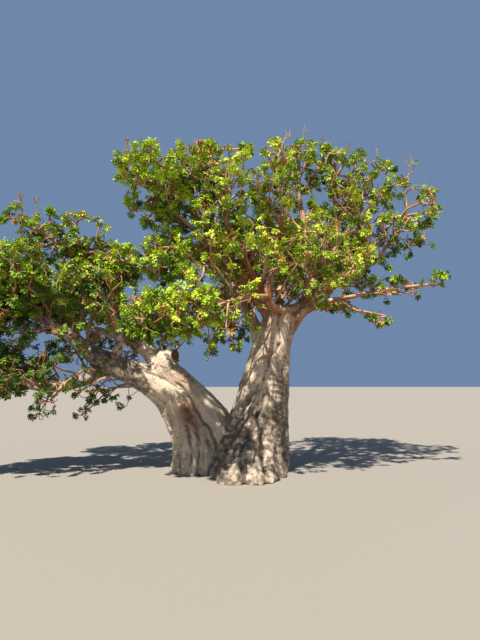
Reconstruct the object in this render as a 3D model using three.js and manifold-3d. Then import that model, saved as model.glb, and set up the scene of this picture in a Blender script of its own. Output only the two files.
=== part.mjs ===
// A squat, two-stemmed baobab, at its real size in millimetres, +Z up, rooted at z = 0.
// +X is to the right and +Y is away from the side that is seen first.
// Every trunk, bough and mass of foliage is one closed solid.
import * as THREE from "three";
import { mergeVertices } from "three/addons/utils/BufferGeometryUtils.js";
import Module from "manifold-3d";

const wasm = await Module();
wasm.setup();

// Clearances and the fineness of the solids

const MEETING_GAP = 0.4;
const LEAF_CLEARANCE = 30;
const BELOW_GROUND = 150;
const TRUNK_SIDES = 32;
const TRUNK_RINGS = 13;
const STOUT_RADIUS = 140;
const STOUT_SIDES = 8;
const SLIM_SIDES = 6;
const LIMB_STEPS = 5;
const TOP_DOME = 0.35;

// Foliage sizes, the same for every mass

const TWIGS_PER_MASS = 9;
const STEM_STEPS = 2;
const TWIG_STEPS = 1;
const TWIG_SIDES = 3;
const TWIG_RADIUS = 15;
const TWIG_TIP_RADIUS = 8;
const STEM_SHARE_OF_BOUGH = 0.55;
const SHARED_STEM_SHARE = 0.35;
const STEMS_APART = 0.54;
const SPACE_MIDDLE = 0.54;
const STEM_SUNK = 12;
const STEM_SHORT = 200;
const SPRAY_LENGTH = 330;
const SPRAY_THICKNESS = 18;
const SPRAY_LOBES = 5;
const SPRAY_NOTCH = 0.46;
const SPRAY_BACK = 0.07;
const SPRAYS_APART = 0.6;
const TWIG_APART = 0.45;
const TIP_TRIES = 12;
const SPACE_EDGE = 1.3;

// The two trunks. Each runs from its foot to its top, pushed off the straight line by bow
// in the middle and by sway one way and then the other. A root is a swelling of the foot:
// its heading in degrees, how far it reaches past the trunk, its width and its height.
const TRUNKS = {
  main_trunk: {
    foot: [490, 110, -BELOW_GROUND],
    top: [910, -20, 2860],
    bow: [-95, 30, 0],
    sway: [20, 0, 0],
    girth: [485, 300],
    taper: 1.35,
    flutes: { count: 7, depth: 0.045, twist: 0.5 },
    roots: [
      { heading: -162, reach: 470, width: 27, height: 1050 },
      { heading: -116, reach: 860, width: 25, height: 640 },
      { heading: -84, reach: 560, width: 15, height: 460 },
      { heading: -54, reach: 250, width: 13, height: 330 },
      { heading: -28, reach: 90, width: 12, height: 260 },
      { heading: 12, reach: 60, width: 20, height: 360 },
      { heading: 58, reach: 300, width: 20, height: 480 },
      { heading: 104, reach: 240, width: 18, height: 430 },
      { heading: 145, reach: 220, width: 20, height: 520 },
    ],
  },
  left_trunk: {
    foot: [-640, 150, -BELOW_GROUND],
    top: [-1440, 60, 1800],
    bow: [290, 20, 60],
    sway: [20, 0, 0],
    girth: [480, 350],
    taper: 1.4,
    flutes: { count: 6, depth: 0.05, twist: -0.4 },
    roots: [
      { heading: -100, reach: 110, width: 24, height: 450 },
      { heading: -150, reach: 60, width: 20, height: 380 },
      { heading: 168, reach: 50, width: 18, height: 380 },
      { heading: 125, reach: 200, width: 22, height: 480 },
      { heading: 80, reach: 240, width: 20, height: 460 },
      { heading: -5, reach: 450, width: 36, height: 1050 },
    ],
  },
};

// The boughs: what each grows from and at what share of its length, its tip, its bow and
// sway, its radius at the foot and at the tip, and how fast it thins.
const BOUGHS = {
  left_fore_arm: { from: "left_trunk", at: 0.8, tip: [-2330, -190, 1985], bow: [0, -60, 20], girth: [300, 170] },
  left_rear_arm: { from: "left_trunk", at: 0.76, tip: [-1820, 400, 2330], bow: [30, 90, 110], girth: [270, 135] },
  sawn_stub: { from: "left_rear_arm", at: 0.6, tip: [-1085, 60, 2125], bow: [0, 0, 20], girth: [135, 112] },
  low_left_bough: {
    from: "left_fore_arm", at: 0.92, tip: [-3640, -380, 1560], bow: [0, 0, -180], girth: [120, 62],
  },
  mid_left_bough: {
    from: "left_fore_arm", at: 0.97, tip: [-3555, -300, 2780], bow: [0, 0, 45],
    sway: [0, 0, -40], girth: [150, 72],
  },
  upright_left_bough: {
    from: "left_fore_arm", at: 0.9, tip: [-2440, -500, 3350], bow: [235, -60, 0],
    sway: [30, 0, 0], girth: [76, 42],
  },
  rear_left_bough: {
    from: "left_rear_arm", at: 0.96, tip: [-3200, 950, 2870], bow: [0, 0, 10],
    sway: [0, 30, 30], girth: [105, 50],
  },
  top_left_bough: {
    from: "left_rear_arm", at: 1, tip: [-2920, 250, 3910], bow: [-50, 60, 0],
    sway: [50, 0, 0], girth: [140, 60],
  },
  back_left_bough: { from: "left_rear_arm", at: 0.7, tip: [-2500, 1500, 2900], bow: [60, 0, 60], girth: [110, 55] },
  crown_left_arm: {
    from: "main_trunk", at: 0.93, tip: [-450, -400, 4130], bow: [60, 20, 60],
    sway: [0, 0, 40], girth: [150, 84],
  },
  crown_left_tip_bough: {
    from: "crown_left_arm", at: 0.42, tip: [-960, -860, 4540], bow: [-60, -150, 60], girth: [62, 30],
  },
  crown_left_upper_bough: {
    from: "crown_left_arm", at: 0.95, tip: [-720, -620, 4680], bow: [60, 0, 0], girth: [62, 36],
  },
  crown_left_lower_bough: {
    from: "crown_left_arm", at: 0.74, tip: [-640, -800, 3720], bow: [-60, 60, -80], girth: [60, 32],
  },
  crown_fore_left_bough: {
    from: "crown_left_arm", at: 0.2, tip: [-105, -900, 4340], bow: [60, -60, -60], girth: [78, 38],
  },
  crown_right_arm: {
    from: "main_trunk", at: 0.76, tip: [2806, 250, 3970], bow: [-140, 0, 230],
    sway: [0, 0, 40], girth: [190, 38],
  },
  crown_fore_bough: {
    from: "crown_right_arm", at: 0.36, tip: [900, -780, 4590], bow: [-460, -285, -540], sway: [-120, -100, -75],
    girth: [84, 34], taper: 1.3,
  },
  crown_right_low_bough: {
    from: "main_trunk", at: 0.9, tip: [2190, -200, 3190], bow: [-30, -30, 120], girth: [90, 30],
  },
  crown_top_bough: {
    from: "crown_right_arm", at: 0.36, tip: [1400, 640, 5280], bow: [200, 80, 0],
    sway: [40, 0, 0], girth: [100, 48],
  },
  crown_inner_bough: {
    from: "crown_right_arm", at: 0.58, tip: [2110, 540, 5050], bow: [90, 120, 0],
    sway: [-50, 0, 0], girth: [56, 32],
  },
  crown_right_upper_bough: {
    from: "crown_right_arm", at: 0.93, tip: [2590, 480, 5080], bow: [60, 30, 0],
    sway: [40, 0, 0], girth: [58, 34],
  },
  crown_right_tip_bough: {
    from: "crown_right_arm", at: 0.9, tip: [3480, 340, 4960], bow: [-50, 0, 90],
    sway: [0, 0, -60], girth: [42, 24],
  },
  crown_right_hanging_bough: {
    from: "crown_right_low_bough", at: 0.85, tip: [2330, -210, 2925], bow: [0, 0, -20], girth: [28, 20],
  },
  front_low_bough: {
    from: "crown_fore_bough", at: 0.42, tip: [-300, -1500, 2780], bow: [0, -60, 60], girth: [36, 22],
  },
  front_right_bough: {
    from: "crown_right_arm", at: 0.4, tip: [1435, -900, 3540], bow: [-60, 0, 60], girth: [52, 30],
  },
  back_left_arm: { from: "main_trunk", at: 0.7, tip: [-80, 1200, 3930], bow: [20, -330, 0], girth: [150, 58] },
  back_bough: { from: "main_trunk", at: 0.9, tip: [1150, 1650, 4300], bow: [0, 100, 60], girth: [120, 52] },
  back_right_bough: { from: "main_trunk", at: 0.86, tip: [2200, 1600, 3900], bow: [0, 60, -60], girth: [120, 52] },
};

// The masses of foliage: the bough that each ends, where its stem runs to, and the
// half-width and half-height of the space it keeps to.
const MASSES = {
  low_left_mass: { on: "low_left_bough", to: [-5150, -600, 1950], space: [620, 430] },
  low_left_rear_mass: { on: "low_left_bough", to: [-4350, 480, 2300], space: [480, 430] },
  mid_left_outer_mass: { on: "mid_left_bough", to: [-5000, -650, 3200], space: [640, 480] },
  mid_left_upper_mass: { on: "mid_left_bough", to: [-3950, -750, 4120], space: [640, 450] },
  upright_left_mass: { on: "upright_left_bough", to: [-3050, -950, 3350], space: [460, 440] },
  left_bridge_mass: { on: "upright_left_bough", to: [-1750, -250, 4050], space: [430, 400] },
  top_left_mass: { on: "top_left_bough", to: [-2650, -150, 4450], space: [520, 350] },
  top_left_outer_mass: { on: "top_left_bough", to: [-4200, -150, 4740], space: [500, 340] },
  rear_left_mass: { on: "rear_left_bough", to: [-4300, 1500, 3500], space: [650, 500] },
  back_left_mass: { on: "back_left_bough", to: [-2950, 2300, 3800], space: [650, 520] },
  front_low_mass: { on: "front_low_bough", to: [-850, -2200, 2560], space: [480, 400] },
  front_low_outer_mass: { on: "front_low_bough", to: [-1750, -1400, 2600], space: [470, 450] },
  crown_left_tip_mass: { on: "crown_left_tip_bough", to: [-1700, -1500, 5440], space: [560, 470] },
  crown_left_fringe_mass: { on: "crown_left_tip_bough", to: [-1820, -1100, 4600], space: [350, 260] },
  crown_left_upper_mass: { on: "crown_left_upper_bough", to: [-600, -1000, 5860], space: [540, 420] },
  crown_left_lower_mass: { on: "crown_left_lower_bough", to: [-1500, -1000, 3800], space: [540, 520] },
  crown_fore_left_mass: { on: "crown_fore_left_bough", to: [-20, -1300, 5600], space: [440, 390] },
  crown_fore_mass: { on: "crown_fore_bough", to: [600, -950, 5780], space: [520, 430] },
  crown_top_mass: { on: "crown_top_bough", to: [1400, 720, 6800], space: [490, 440] },
  crown_inner_mass: { on: "crown_inner_bough", to: [2180, 640, 6560], space: [470, 420] },
  crown_right_upper_mass: { on: "crown_right_upper_bough", to: [3000, 700, 6150], space: [490, 420] },
  crown_right_tip_mass: { on: "crown_right_tip_bough", to: [3500, 450, 5800], space: [360, 320] },
  crown_right_outer_mass: { on: "crown_right_tip_bough", to: [4320, 500, 5060], space: [400, 320] },
  crown_right_mass: { on: "crown_right_arm", to: [3500, -150, 5080], space: [440, 350] },
  crown_right_low_mass: { on: "crown_right_low_bough", to: [3950, -300, 3440], space: [300, 180] },
  crown_right_hanging_mass: { on: "crown_right_hanging_bough", to: [2980, -300, 2790], space: [270, 180] },
  front_right_mass: { on: "front_right_bough", to: [1650, -1450, 4150], space: [540, 440] },
  back_left_upper_mass: { on: "back_left_arm", to: [-350, 2000, 5000], space: [650, 540] },
  back_low_mass: { on: "back_left_arm", to: [-350, 2000, 2550], space: [520, 420] },
  back_mass: { on: "back_bough", to: [1400, 2700, 5500], space: [680, 580] },
  back_right_mass: { on: "back_right_bough", to: [3000, 2500, 5000], space: [680, 580] },
};

const BARK = { color: 0x9c8a78, roughness: 0.85, metalness: 0 };
const UPPER_BARK = { color: 0x93745c, roughness: 0.85, metalness: 0 };
const LEAF_GREEN = { color: 0x6d9130, roughness: 0.6, metalness: 0 };

// Small sums on vectors and numbers

const vec = (p) => new THREE.Vector3(...p);
const mix = (a, b, share) => a + (b - a) * share;
const UP = new THREE.Vector3(0, 0, 1);

// A repeatable stream of numbers from 0 to 1.
function dice(seed) {
  let state = seed >>> 0;
  return () => {
    state = (state + 0x6d2b79f5) >>> 0;
    let t = Math.imul(state ^ (state >>> 15), state | 1);
    t ^= t + Math.imul(t ^ (t >>> 7), t | 61);
    return ((t ^ (t >>> 14)) >>> 0) / 4294967296;
  };
}

// The line that a limb follows: a straight run with a bow and a sway.
class Route {
  constructor(start, end, bow = [0, 0, 0], sway = [0, 0, 0]) {
    Object.assign(this, { start, end, bow: vec(bow), sway: vec(sway) });
  }
  at(t) {
    return this.start
      .clone()
      .lerp(this.end, t)
      .addScaledVector(this.bow, 4 * t * (1 - t))
      .addScaledVector(this.sway, Math.sin(2 * Math.PI * t));
  }
  heading(t) {
    const step = 0.01;
    return this.at(Math.min(1, t + step)).sub(this.at(Math.max(0, t - step))).normalize();
  }
  length() {
    return this.start.distanceTo(this.end);
  }
}

// Two directions square to each other and to the one given, the second as near up as it can be.
function squareTo(direction) {
  const side = new THREE.Vector3().crossVectors(direction, UP);
  if (side.length() < 0.05) side.set(1, 0, 0);
  side.normalize();
  return [side, new THREE.Vector3().crossVectors(side, direction).normalize()];
}

// The middle of a ring of a tube: the end rings stand out by the tube's growth.
function ringMiddle(route, t, grow) {
  const outwards = t === 0 ? -grow : t === 1 ? grow : 0;
  return route.at(t).addScaledVector(route.heading(t), outwards);
}

// A closed tube along a route. radius gives its size at a share of the route and an angle.
function tube(route, radius, sides, steps, grow = 0) {
  const corners = [];
  const faces = [];
  let [across] = squareTo(route.heading(0));
  for (let i = 0; i <= steps; i++) {
    const t = i / steps;
    const along = route.heading(t);
    across = across.clone().addScaledVector(along, -across.dot(along)).normalize();
    const over = new THREE.Vector3().crossVectors(along, across);
    for (let k = 0; k < sides; k++) {
      const angle = (2 * Math.PI * k) / sides;
      corners.push(onRing(ringMiddle(route, t, grow), across, over, radius(t, angle) + grow, angle));
    }
  }
  for (let i = 0; i < steps; i++) faces.push(...band(i * sides, sides));
  for (let k = 1; k < sides - 1; k++) {
    faces.push([0, k + 1, k], [steps * sides, steps * sides + k, steps * sides + k + 1]);
  }
  return solid(corners, faces);
}

function onRing(middle, across, over, size, angle) {
  return middle
    .clone()
    .addScaledVector(across, size * Math.cos(angle))
    .addScaledVector(over, size * Math.sin(angle));
}

// The triangles between one ring of corners and the next.
function band(first, sides) {
  const faces = [];
  for (let k = 0; k < sides; k++) {
    const [a, b] = [first + k, first + ((k + 1) % sides)];
    faces.push([a, b, b + sides], [a, b + sides, a + sides]);
  }
  return faces;
}

// A manifold solid from corners and the triangles between them.
function solid(corners, faces) {
  const geometry = new THREE.BufferGeometry();
  geometry.setAttribute("position", new THREE.Float32BufferAttribute(corners.flatMap((c) => c.toArray()), 3));
  geometry.setIndex(faces.flat());
  const merged = mergeVertices(geometry, 1e-3);
  return new wasm.Manifold(
    new wasm.Mesh({
      numProp: 3,
      vertProperties: merged.attributes.position.array,
      triVerts: new Uint32Array(merged.index.array),
    }),
  );
}

// The largest of a solid's separate bodies: what a cut leaves over is dropped.
function mainBody(shape) {
  return shape.decompose().reduce((best, body) => (body.volume() > best.volume() ? body : best));
}

const boxesMeet = (a, b) => [0, 1, 2].every((k) => a.min[k] <= b.max[k] && b.min[k] <= a.max[k]);

// The trunks

function trunkRadius(spec, route) {
  return (t, angle) => {
    const height = Math.max(0, route.at(t).z);
    const plain = mix(spec.girth[0], spec.girth[1], t ** spec.taper);
    const flute = 1 + spec.flutes.depth * Math.cos(spec.flutes.count * angle + spec.flutes.twist * 2 * Math.PI * t);
    const swelling = spec.roots.reduce((sum, root) => {
      const off = ((angle * 180) / Math.PI - root.heading + 540) % 360 - 180;
      return sum + root.reach * Math.exp(-((off / root.width) ** 2) - (height / root.height) ** 1.6);
    }, 0);
    return plain * flute + swelling;
  };
}

function trunkRoute(spec) {
  return new Route(vec(spec.foot), vec(spec.top), spec.bow, spec.sway);
}

// A trunk's rings lie level, so that its roots keep their compass headings.
function trunkSolid(spec, grow = 0) {
  const route = trunkRoute(spec);
  const radius = trunkRadius(spec, route);
  const corners = [];
  const faces = [];
  for (let i = 0; i <= TRUNK_RINGS; i++) {
    const t = (i / TRUNK_RINGS) ** 1.15;
    const tilt = route.heading(t).lerp(UP, Math.max(0, 1 - 2.2 * t)).normalize();
    const across = new THREE.Vector3(1, 0, 0).addScaledVector(tilt, -tilt.x).normalize();
    const over = new THREE.Vector3().crossVectors(tilt, across);
    for (let k = 0; k < TRUNK_SIDES; k++) {
      const angle = (2 * Math.PI * k) / TRUNK_SIDES;
      corners.push(onRing(ringMiddle(route, t, grow), across, over, radius(t, angle) + grow, angle));
    }
  }
  for (let i = 0; i < TRUNK_RINGS; i++) faces.push(...band(i * TRUNK_SIDES, TRUNK_SIDES));
  const top = TRUNK_RINGS * TRUNK_SIDES;
  const [footCentre, tipCentre] = [corners.length, corners.length + 1];
  corners.push(route.at(0), route.at(1).addScaledVector(route.heading(1), TOP_DOME * spec.girth[1] + grow));
  for (let k = 0; k < TRUNK_SIDES; k++) {
    const next = (k + 1) % TRUNK_SIDES;
    faces.push([footCentre, next, k], [tipCentre, top + k, top + next]);
  }
  return solid(corners, faces).trimByPlane([0, 0, 1], 0);
}

// The boughs

const routes = {};
for (const [name, spec] of Object.entries(TRUNKS)) routes[name] = trunkRoute(spec);
for (const [name, spec] of Object.entries(BOUGHS)) {
  routes[name] = new Route(routes[spec.from].at(spec.at), vec(spec.tip), spec.bow, spec.sway);
}

function boughRadius(spec, t) {
  return mix(spec.girth[1], spec.girth[0], (1 - t) ** (spec.taper ?? 1));
}

function boughSolid(name, grow = 0) {
  const spec = BOUGHS[name];
  const sides = spec.girth[0] > STOUT_RADIUS ? STOUT_SIDES : SLIM_SIDES;
  return tube(routes[name], (t) => boughRadius(spec, t), sides, LIMB_STEPS, grow);
}

// Every limb is cut clear of those made before it, so that pieces meet face to face.
function makeLimbs() {
  const made = {};
  const grown = [];
  const add = (name, plain, wide) => {
    const box = plain.boundingBox();
    const near = grown.filter((g) => boxesMeet(g.box, box));
    made[name] = mainBody(near.reduce((left, g) => left.subtract(g.shape), plain));
    grown.push({ shape: wide, box: wide.boundingBox() });
  };
  for (const [name, spec] of Object.entries(TRUNKS)) add(name, trunkSolid(spec), trunkSolid(spec, MEETING_GAP));
  for (const name of Object.keys(BOUGHS)) add(name, boughSolid(name), boughSolid(name, MEETING_GAP));
  return made;
}

// The foliage

// The space of a mass: an ellipsoid round its stem, which runs from its bough's tip.
function massSpace(spec, start) {
  const end = vec(spec.to);
  const along = end.clone().sub(start).normalize();
  const [side, over] = squareTo(along);
  const half = 0.5 * start.distanceTo(end);
  return { centre: start.clone().lerp(end, SPACE_MIDDLE), axes: [along, side, over], sizes: [half, ...spec.space] };
}

// How far out in a space a point lies: 0 at its centre and 1 at its edge.
function depthIn(space, point) {
  const off = point.clone().sub(space.centre);
  return Math.hypot(...space.axes.map((axis, k) => off.dot(axis) / space.sizes[k]));
}

const stems = {};
const spaces = {};
Object.entries(MASSES).forEach(([name, spec]) => {
  const bough = BOUGHS[spec.on];
  const route = routes[spec.on];
  const sharing = Object.keys(MASSES).filter((other) => MASSES[other].on === spec.on);
  const towards = vec(spec.to).sub(route.end).normalize();
  const start = route.end.clone().addScaledVector(route.heading(1), -STEM_SUNK);
  const radius = (sharing.length > 1 ? SHARED_STEM_SHARE : STEM_SHARE_OF_BOUGH) * bough.girth[1];
  if (sharing.length > 1) {
    const apart = towards.clone().addScaledVector(route.heading(1), -towards.dot(route.heading(1))).normalize();
    start.addScaledVector(apart, STEMS_APART * bough.girth[1]);
  }
  const lift = 0.07 * start.distanceTo(vec(spec.to));
  const bend = route.heading(1).sub(towards).multiplyScalar(lift).add(new THREE.Vector3(0, 0, 0.3 * lift));
  const tip = vec(spec.to).addScaledVector(towards, -STEM_SHORT);
  stems[name] = { route: new Route(start, tip, bend.toArray()), radius };
  spaces[name] = massSpace(spec, route.end);
});

// True where a ball of that size at a point stands clear of every limb and of the other stems.
function clearOfLimbs(point, size, owner) {
  const near = (route, radius) => {
    if (route.at(0.5).distanceTo(point) > route.length() + radius(0) + size) return false;
    for (let i = 0; i <= 16; i++) {
      const t = i / 16;
      if (route.at(t).distanceTo(point) < radius(t) + size) return true;
    }
    return false;
  };
  const trunkHit = Object.entries(TRUNKS).some(([name, spec]) => near(routes[name], () => spec.girth[0] * 1.1));
  const boughHit = Object.entries(BOUGHS).some(([name, spec]) => near(routes[name], (t) => boughRadius(spec, t)));
  const stemHit = Object.entries(stems).some(([name, stem]) => name !== owner && near(stem.route, () => stem.radius));
  return !(trunkHit || boughHit || stemHit);
}

// True where a point lies in its owner's space and not nearer the middle of another one.
function keepsToSpace(point, owner) {
  const own = depthIn(spaces[owner], point);
  if (own > SPACE_EDGE) return false;
  return Object.entries(spaces).every(([name, space]) => name === owner || depthIn(space, point) > own + 0.02);
}

// The outline of a spray of leaves: pointed lobes all round a middle just past its twig's tip.
function sprayOutline(tip, forward, face, length) {
  const side = new THREE.Vector3().crossVectors(face, forward);
  const middle = tip.clone().addScaledVector(forward, SPRAY_BACK * length);
  const step = Math.PI / SPRAY_LOBES;
  const outline = [];
  for (let turn = step - Math.PI; turn < Math.PI - step / 2; turn += step) {
    const lobe = outline.length % 2 === 0;
    const reach = (lobe ? 1 : SPRAY_NOTCH) * mix(1, 0.72, Math.abs(turn) / Math.PI) * length;
    outline.push(
      middle
        .clone()
        .addScaledVector(forward, reach * Math.cos(turn))
        .addScaledVector(side, reach * Math.sin(turn)),
    );
  }
  return { middle, outline };
}

// A twig and its spray in one piece: a three-sided tube that opens into a thin blade.
function twigWithSpray(route, face, length, radius, steps) {
  const forward = route.heading(1);
  const { middle, outline } = sprayOutline(route.end, forward, face, length);
  const corners = [];
  const faces = [[0, 2, 1]];
  for (let i = 0; i <= steps; i++) {
    const t = i / steps;
    const along = route.heading(t);
    const over = face.clone().addScaledVector(along, -face.dot(along)).normalize();
    const right = new THREE.Vector3().crossVectors(along, over);
    for (let k = 0; k < TWIG_SIDES; k++) {
      corners.push(onRing(route.at(t), over, right, radius(t), (2 * Math.PI * k) / TWIG_SIDES));
    }
    if (i < steps) faces.push(...band(i * TWIG_SIDES, TWIG_SIDES));
  }
  const [top, right, left] = [0, 1, 2].map((k) => steps * TWIG_SIDES + k);
  const [first, last] = [corners.length, corners.length + outline.length - 1];
  const [above, below] = [last + 1, last + 2];
  corners.push(...outline);
  for (const sign of [1, -1]) corners.push(middle.clone().addScaledVector(face, (sign * SPRAY_THICKNESS) / 2));
  for (let k = first; k < last; k++) faces.push([above, k, k + 1], [below, k + 1, k]);
  faces.push([above, last, top], [above, top, first], [top, last, left], [first, top, right]);
  faces.push([below, left, last], [below, right, left], [below, first, right]);
  return solid(corners, faces);
}

// A place for a twig's tip, well out in the space.
function tipPlace(space, roll) {
  const along = mix(-0.75, 0.95, roll());
  const turn = 2 * Math.PI * roll();
  const reach = mix(0.45, 0.85, roll());
  const round = Math.sqrt(1 - along * along);
  return space.centre
    .clone()
    .addScaledVector(space.axes[0], reach * along * space.sizes[0])
    .addScaledVector(space.axes[1], reach * round * Math.cos(turn) * space.sizes[1])
    .addScaledVector(space.axes[2], reach * round * Math.sin(turn) * space.sizes[2]);
}

// How much room a place has: its distance from the sprays already there and from other spaces.
function roomAt(point, owner, taken) {
  const space = spaces[owner];
  const size = Math.min(...space.sizes);
  const own = depthIn(space, point);
  const apart = taken.map((other) => other.middle.distanceTo(point) / SPRAY_LENGTH);
  const beyond = Object.entries(spaces)
    .filter(([name, other]) => name !== owner && other.centre.distanceTo(point) < 2500)
    .map(([, other]) => ((depthIn(other, point) - own) * size) / SPRAY_LENGTH);
  return Math.min(2, ...apart, ...beyond);
}

// A twig leaves the stem, or a twig before it, behind its tip's place and curves up to it.
function twigRoute(space, parent, tip) {
  const level = tip.clone().sub(space.centre).dot(space.axes[0]) / space.sizes[0];
  const foot = parent.at(Math.min(0.88, Math.max(0.12, 0.42 + 0.45 * level)));
  return new Route(foot, tip, [0, 0, -0.08 * foot.distanceTo(tip)]);
}

// The largest size, from full down to small, at which a twig's spray fits in, or 0.
function sprayFit(twig, name, taken) {
  const forward = twig.route.heading(1);
  const fits = (size) => {
    const { middle, outline } = sprayOutline(twig.route.end, forward, twig.face, size);
    const apart = taken.every(
      (other) =>
        other.middle.distanceTo(middle) > SPRAYS_APART * (other.size + size) &&
        [0.3, 0.55, 0.8].every(
          (t) =>
            other.route.at(t).distanceTo(middle) > TWIG_APART * size &&
            twig.route.at(t).distanceTo(other.middle) > TWIG_APART * other.size,
        ),
    );
    return apart && outline.every((c) => keepsToSpace(c, name)) && clearOfLimbs(middle, 0.7 * size, name);
  };
  return [1, 0.85, 0.7, 0.55].map((share) => share * SPRAY_LENGTH).find(fits) ?? 0;
}

function massSolid(name, seed) {
  const roll = dice(seed);
  const [stem, space] = [stems[name], spaces[name]];
  const pieces = [];
  const taken = [];
  const faced = (route) => {
    const tilt = new THREE.Vector3(roll() - 0.5, roll() - 0.5, roll() - 0.35);
    const forward = route.heading(1);
    return { route, face: tilt.addScaledVector(forward, -tilt.dot(forward)).normalize() };
  };
  const grow = ({ route, face }, size, radius, steps) => {
    pieces.push(twigWithSpray(route, face, size, (t) => mix(radius, TWIG_TIP_RADIUS, t), steps));
    taken.push({ middle: route.end, size, route });
  };
  const stemTwig = faced(stem.route);
  grow(stemTwig, sprayFit(stemTwig, name, []) || 0.5 * SPRAY_LENGTH, stem.radius, STEM_STEPS);
  for (let i = 0; i < TWIGS_PER_MASS; i++) {
    const parent = i % 3 === 2 ? taken[taken.length - 1].route : stem.route;
    const tries = Array.from({ length: TIP_TRIES }, () => {
      const twig = faced(twigRoute(space, parent, tipPlace(space, roll)));
      const clear = [0.4, 0.6, 0.8, 1].every((t) => clearOfLimbs(twig.route.at(t), LEAF_CLEARANCE, name));
      const size = clear ? sprayFit(twig, name, taken) : 0;
      return { twig, size, worth: size / SPRAY_LENGTH + 0.6 * roomAt(twig.route.end, name, taken) };
    });
    const best = tries.filter((t) => t.size > 0).sort((a, b) => b.worth - a.worth)[0];
    if (best) grow(best.twig, best.size, TWIG_RADIUS, TWIG_STEPS);
  }
  return mainBody(wasm.Manifold.union(pieces).subtract(boughSolid(MASSES[name].on, MEETING_GAP)));
}

// The tree

function meshOf(name, shape, look) {
  const { vertProperties, triVerts, numProp } = shape.getMesh();
  const points = new Float32Array((vertProperties.length / numProp) * 3);
  for (let i = 0; i < points.length / 3; i++) {
    points.set(vertProperties.subarray(i * numProp, i * numProp + 3), i * 3);
  }
  const geometry = new THREE.BufferGeometry();
  geometry.setAttribute("position", new THREE.BufferAttribute(points, 3));
  geometry.setIndex(new THREE.BufferAttribute(triVerts, 1));
  geometry.computeVertexNormals();
  const mesh = new THREE.Mesh(geometry, new THREE.MeshStandardMaterial(look));
  mesh.name = name;
  return mesh;
}

const tree = new THREE.Group();
for (const [name, shape] of Object.entries(makeLimbs())) {
  tree.add(meshOf(name, shape, name in TRUNKS ? BARK : UPPER_BARK));
}
Object.keys(MASSES).forEach((name, index) => {
  tree.add(meshOf(name, massSolid(name, index + 1), LEAF_GREEN));
});

export default tree;
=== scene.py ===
"""A squat, two-stemmed baobab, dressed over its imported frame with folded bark, fine twigs and leaves."""

import logging
import math
from dataclasses import dataclass, field
from enum import Enum

import bmesh
import bpy
import numpy as np
from bpy.types import Material, Mesh, Node, NodeSocket, NodeTree, Object
from mathutils import Matrix, Vector


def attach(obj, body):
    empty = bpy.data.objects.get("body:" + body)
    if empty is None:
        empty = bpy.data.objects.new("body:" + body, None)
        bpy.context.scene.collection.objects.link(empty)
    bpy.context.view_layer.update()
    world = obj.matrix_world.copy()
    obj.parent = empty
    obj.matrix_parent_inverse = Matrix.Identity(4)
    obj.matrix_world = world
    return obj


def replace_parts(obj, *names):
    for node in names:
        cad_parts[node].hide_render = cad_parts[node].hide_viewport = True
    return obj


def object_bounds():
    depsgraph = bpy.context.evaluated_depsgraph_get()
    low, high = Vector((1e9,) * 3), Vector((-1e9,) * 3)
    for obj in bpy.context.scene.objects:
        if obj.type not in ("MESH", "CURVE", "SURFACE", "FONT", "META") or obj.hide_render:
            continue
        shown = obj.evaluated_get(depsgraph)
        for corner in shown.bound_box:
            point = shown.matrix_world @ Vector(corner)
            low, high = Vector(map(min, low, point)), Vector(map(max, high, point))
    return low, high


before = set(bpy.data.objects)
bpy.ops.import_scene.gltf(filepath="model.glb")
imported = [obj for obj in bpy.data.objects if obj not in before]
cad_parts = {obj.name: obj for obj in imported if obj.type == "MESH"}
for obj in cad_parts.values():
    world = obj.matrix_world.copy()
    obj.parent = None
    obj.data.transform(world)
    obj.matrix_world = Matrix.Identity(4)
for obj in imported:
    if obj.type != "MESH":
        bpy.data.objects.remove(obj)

CAD_BOX = [list(corner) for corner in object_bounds()]
LOG = logging.getLogger("baobab")
MM = 0.001
UP = np.array([0.0, 0.0, 1.0])
EYE = np.array([140.0, -9000.0, 1600.0])

Spot = tuple[float, float, float]
Place = Spot | np.ndarray
Colour = tuple[float, float, float, float]

# Lengths in millimetres and shares for the growth rule, as in the part's source
BELOW_GROUND = 150
STEM_SUNK = 12
STEM_SHORT = 200
STEM_LIFT = 0.07
STEM_RISE = 0.3
STEM_SHARE = 0.55
SHARED_STEM_SHARE = 0.35
STEMS_APART = 0.54
SPACE_MIDDLE = 0.54
SPACE_EDGE = 1.3
SPACE_MARGIN = 0.02
TWIGS_PER_MASS = 9
TIP_TRIES = 12
LEAF_CLEARANCE = 30
TWIG_APART = 0.45
SPRAY_LENGTH = 330
SPRAY_SIZES = (1, 0.85, 0.7, 0.55)
SPRAY_ROOM = 0.7
SPRAYS_APART = 0.6
SPRAY_BACK = 0.07
SPRAY_LOBES = 5
SPRAY_NOTCH = 0.46
SPRAY_NARROWING = 0.28
LIMB_SAMPLES = 17
TRUNK_ROOM = 1.1

# A bough with a foot of this radius or more is fused with its trunk under one bark
STOUT = 75

# Boughs with painted shade on their bark, and how far that painted shade goes at each trunk's foot, darker
# nearer the ground
SHADE_PAINTED_BOUGHS = ("left_fore_arm", "low_left_bough", "mid_left_bough", "upright_left_bough", "top_left_bough")
SHADE_PAINTED_FEET = {"main_trunk": 1.0, "left_trunk": 0.5}

# For narrow and for wide hollows in the bark, which set its painted shade in creases and painted light on
# ridges: how many times it is evened out, and a full depth in metres
HOLLOWS = {3: 0.004, 14: 0.016}

# How many pieces the twigs are shared out to, so that each one stays small enough
TWIG_PIECES = 2


@dataclass(frozen=True)
class Root:
    """A swelling of a trunk's foot: its compass heading, reach past the trunk, width and height."""

    heading: float
    reach: float
    width: float
    height: float


@dataclass(frozen=True)
class TrunkPlan:
    """The named sizes of one trunk, in millimetres."""

    foot: Spot
    top: Spot
    bow: Spot
    sway: Spot
    girth: tuple[float, float]
    taper: float
    flutes: tuple[int, float, float]
    roots: tuple[Root, ...]


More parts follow.
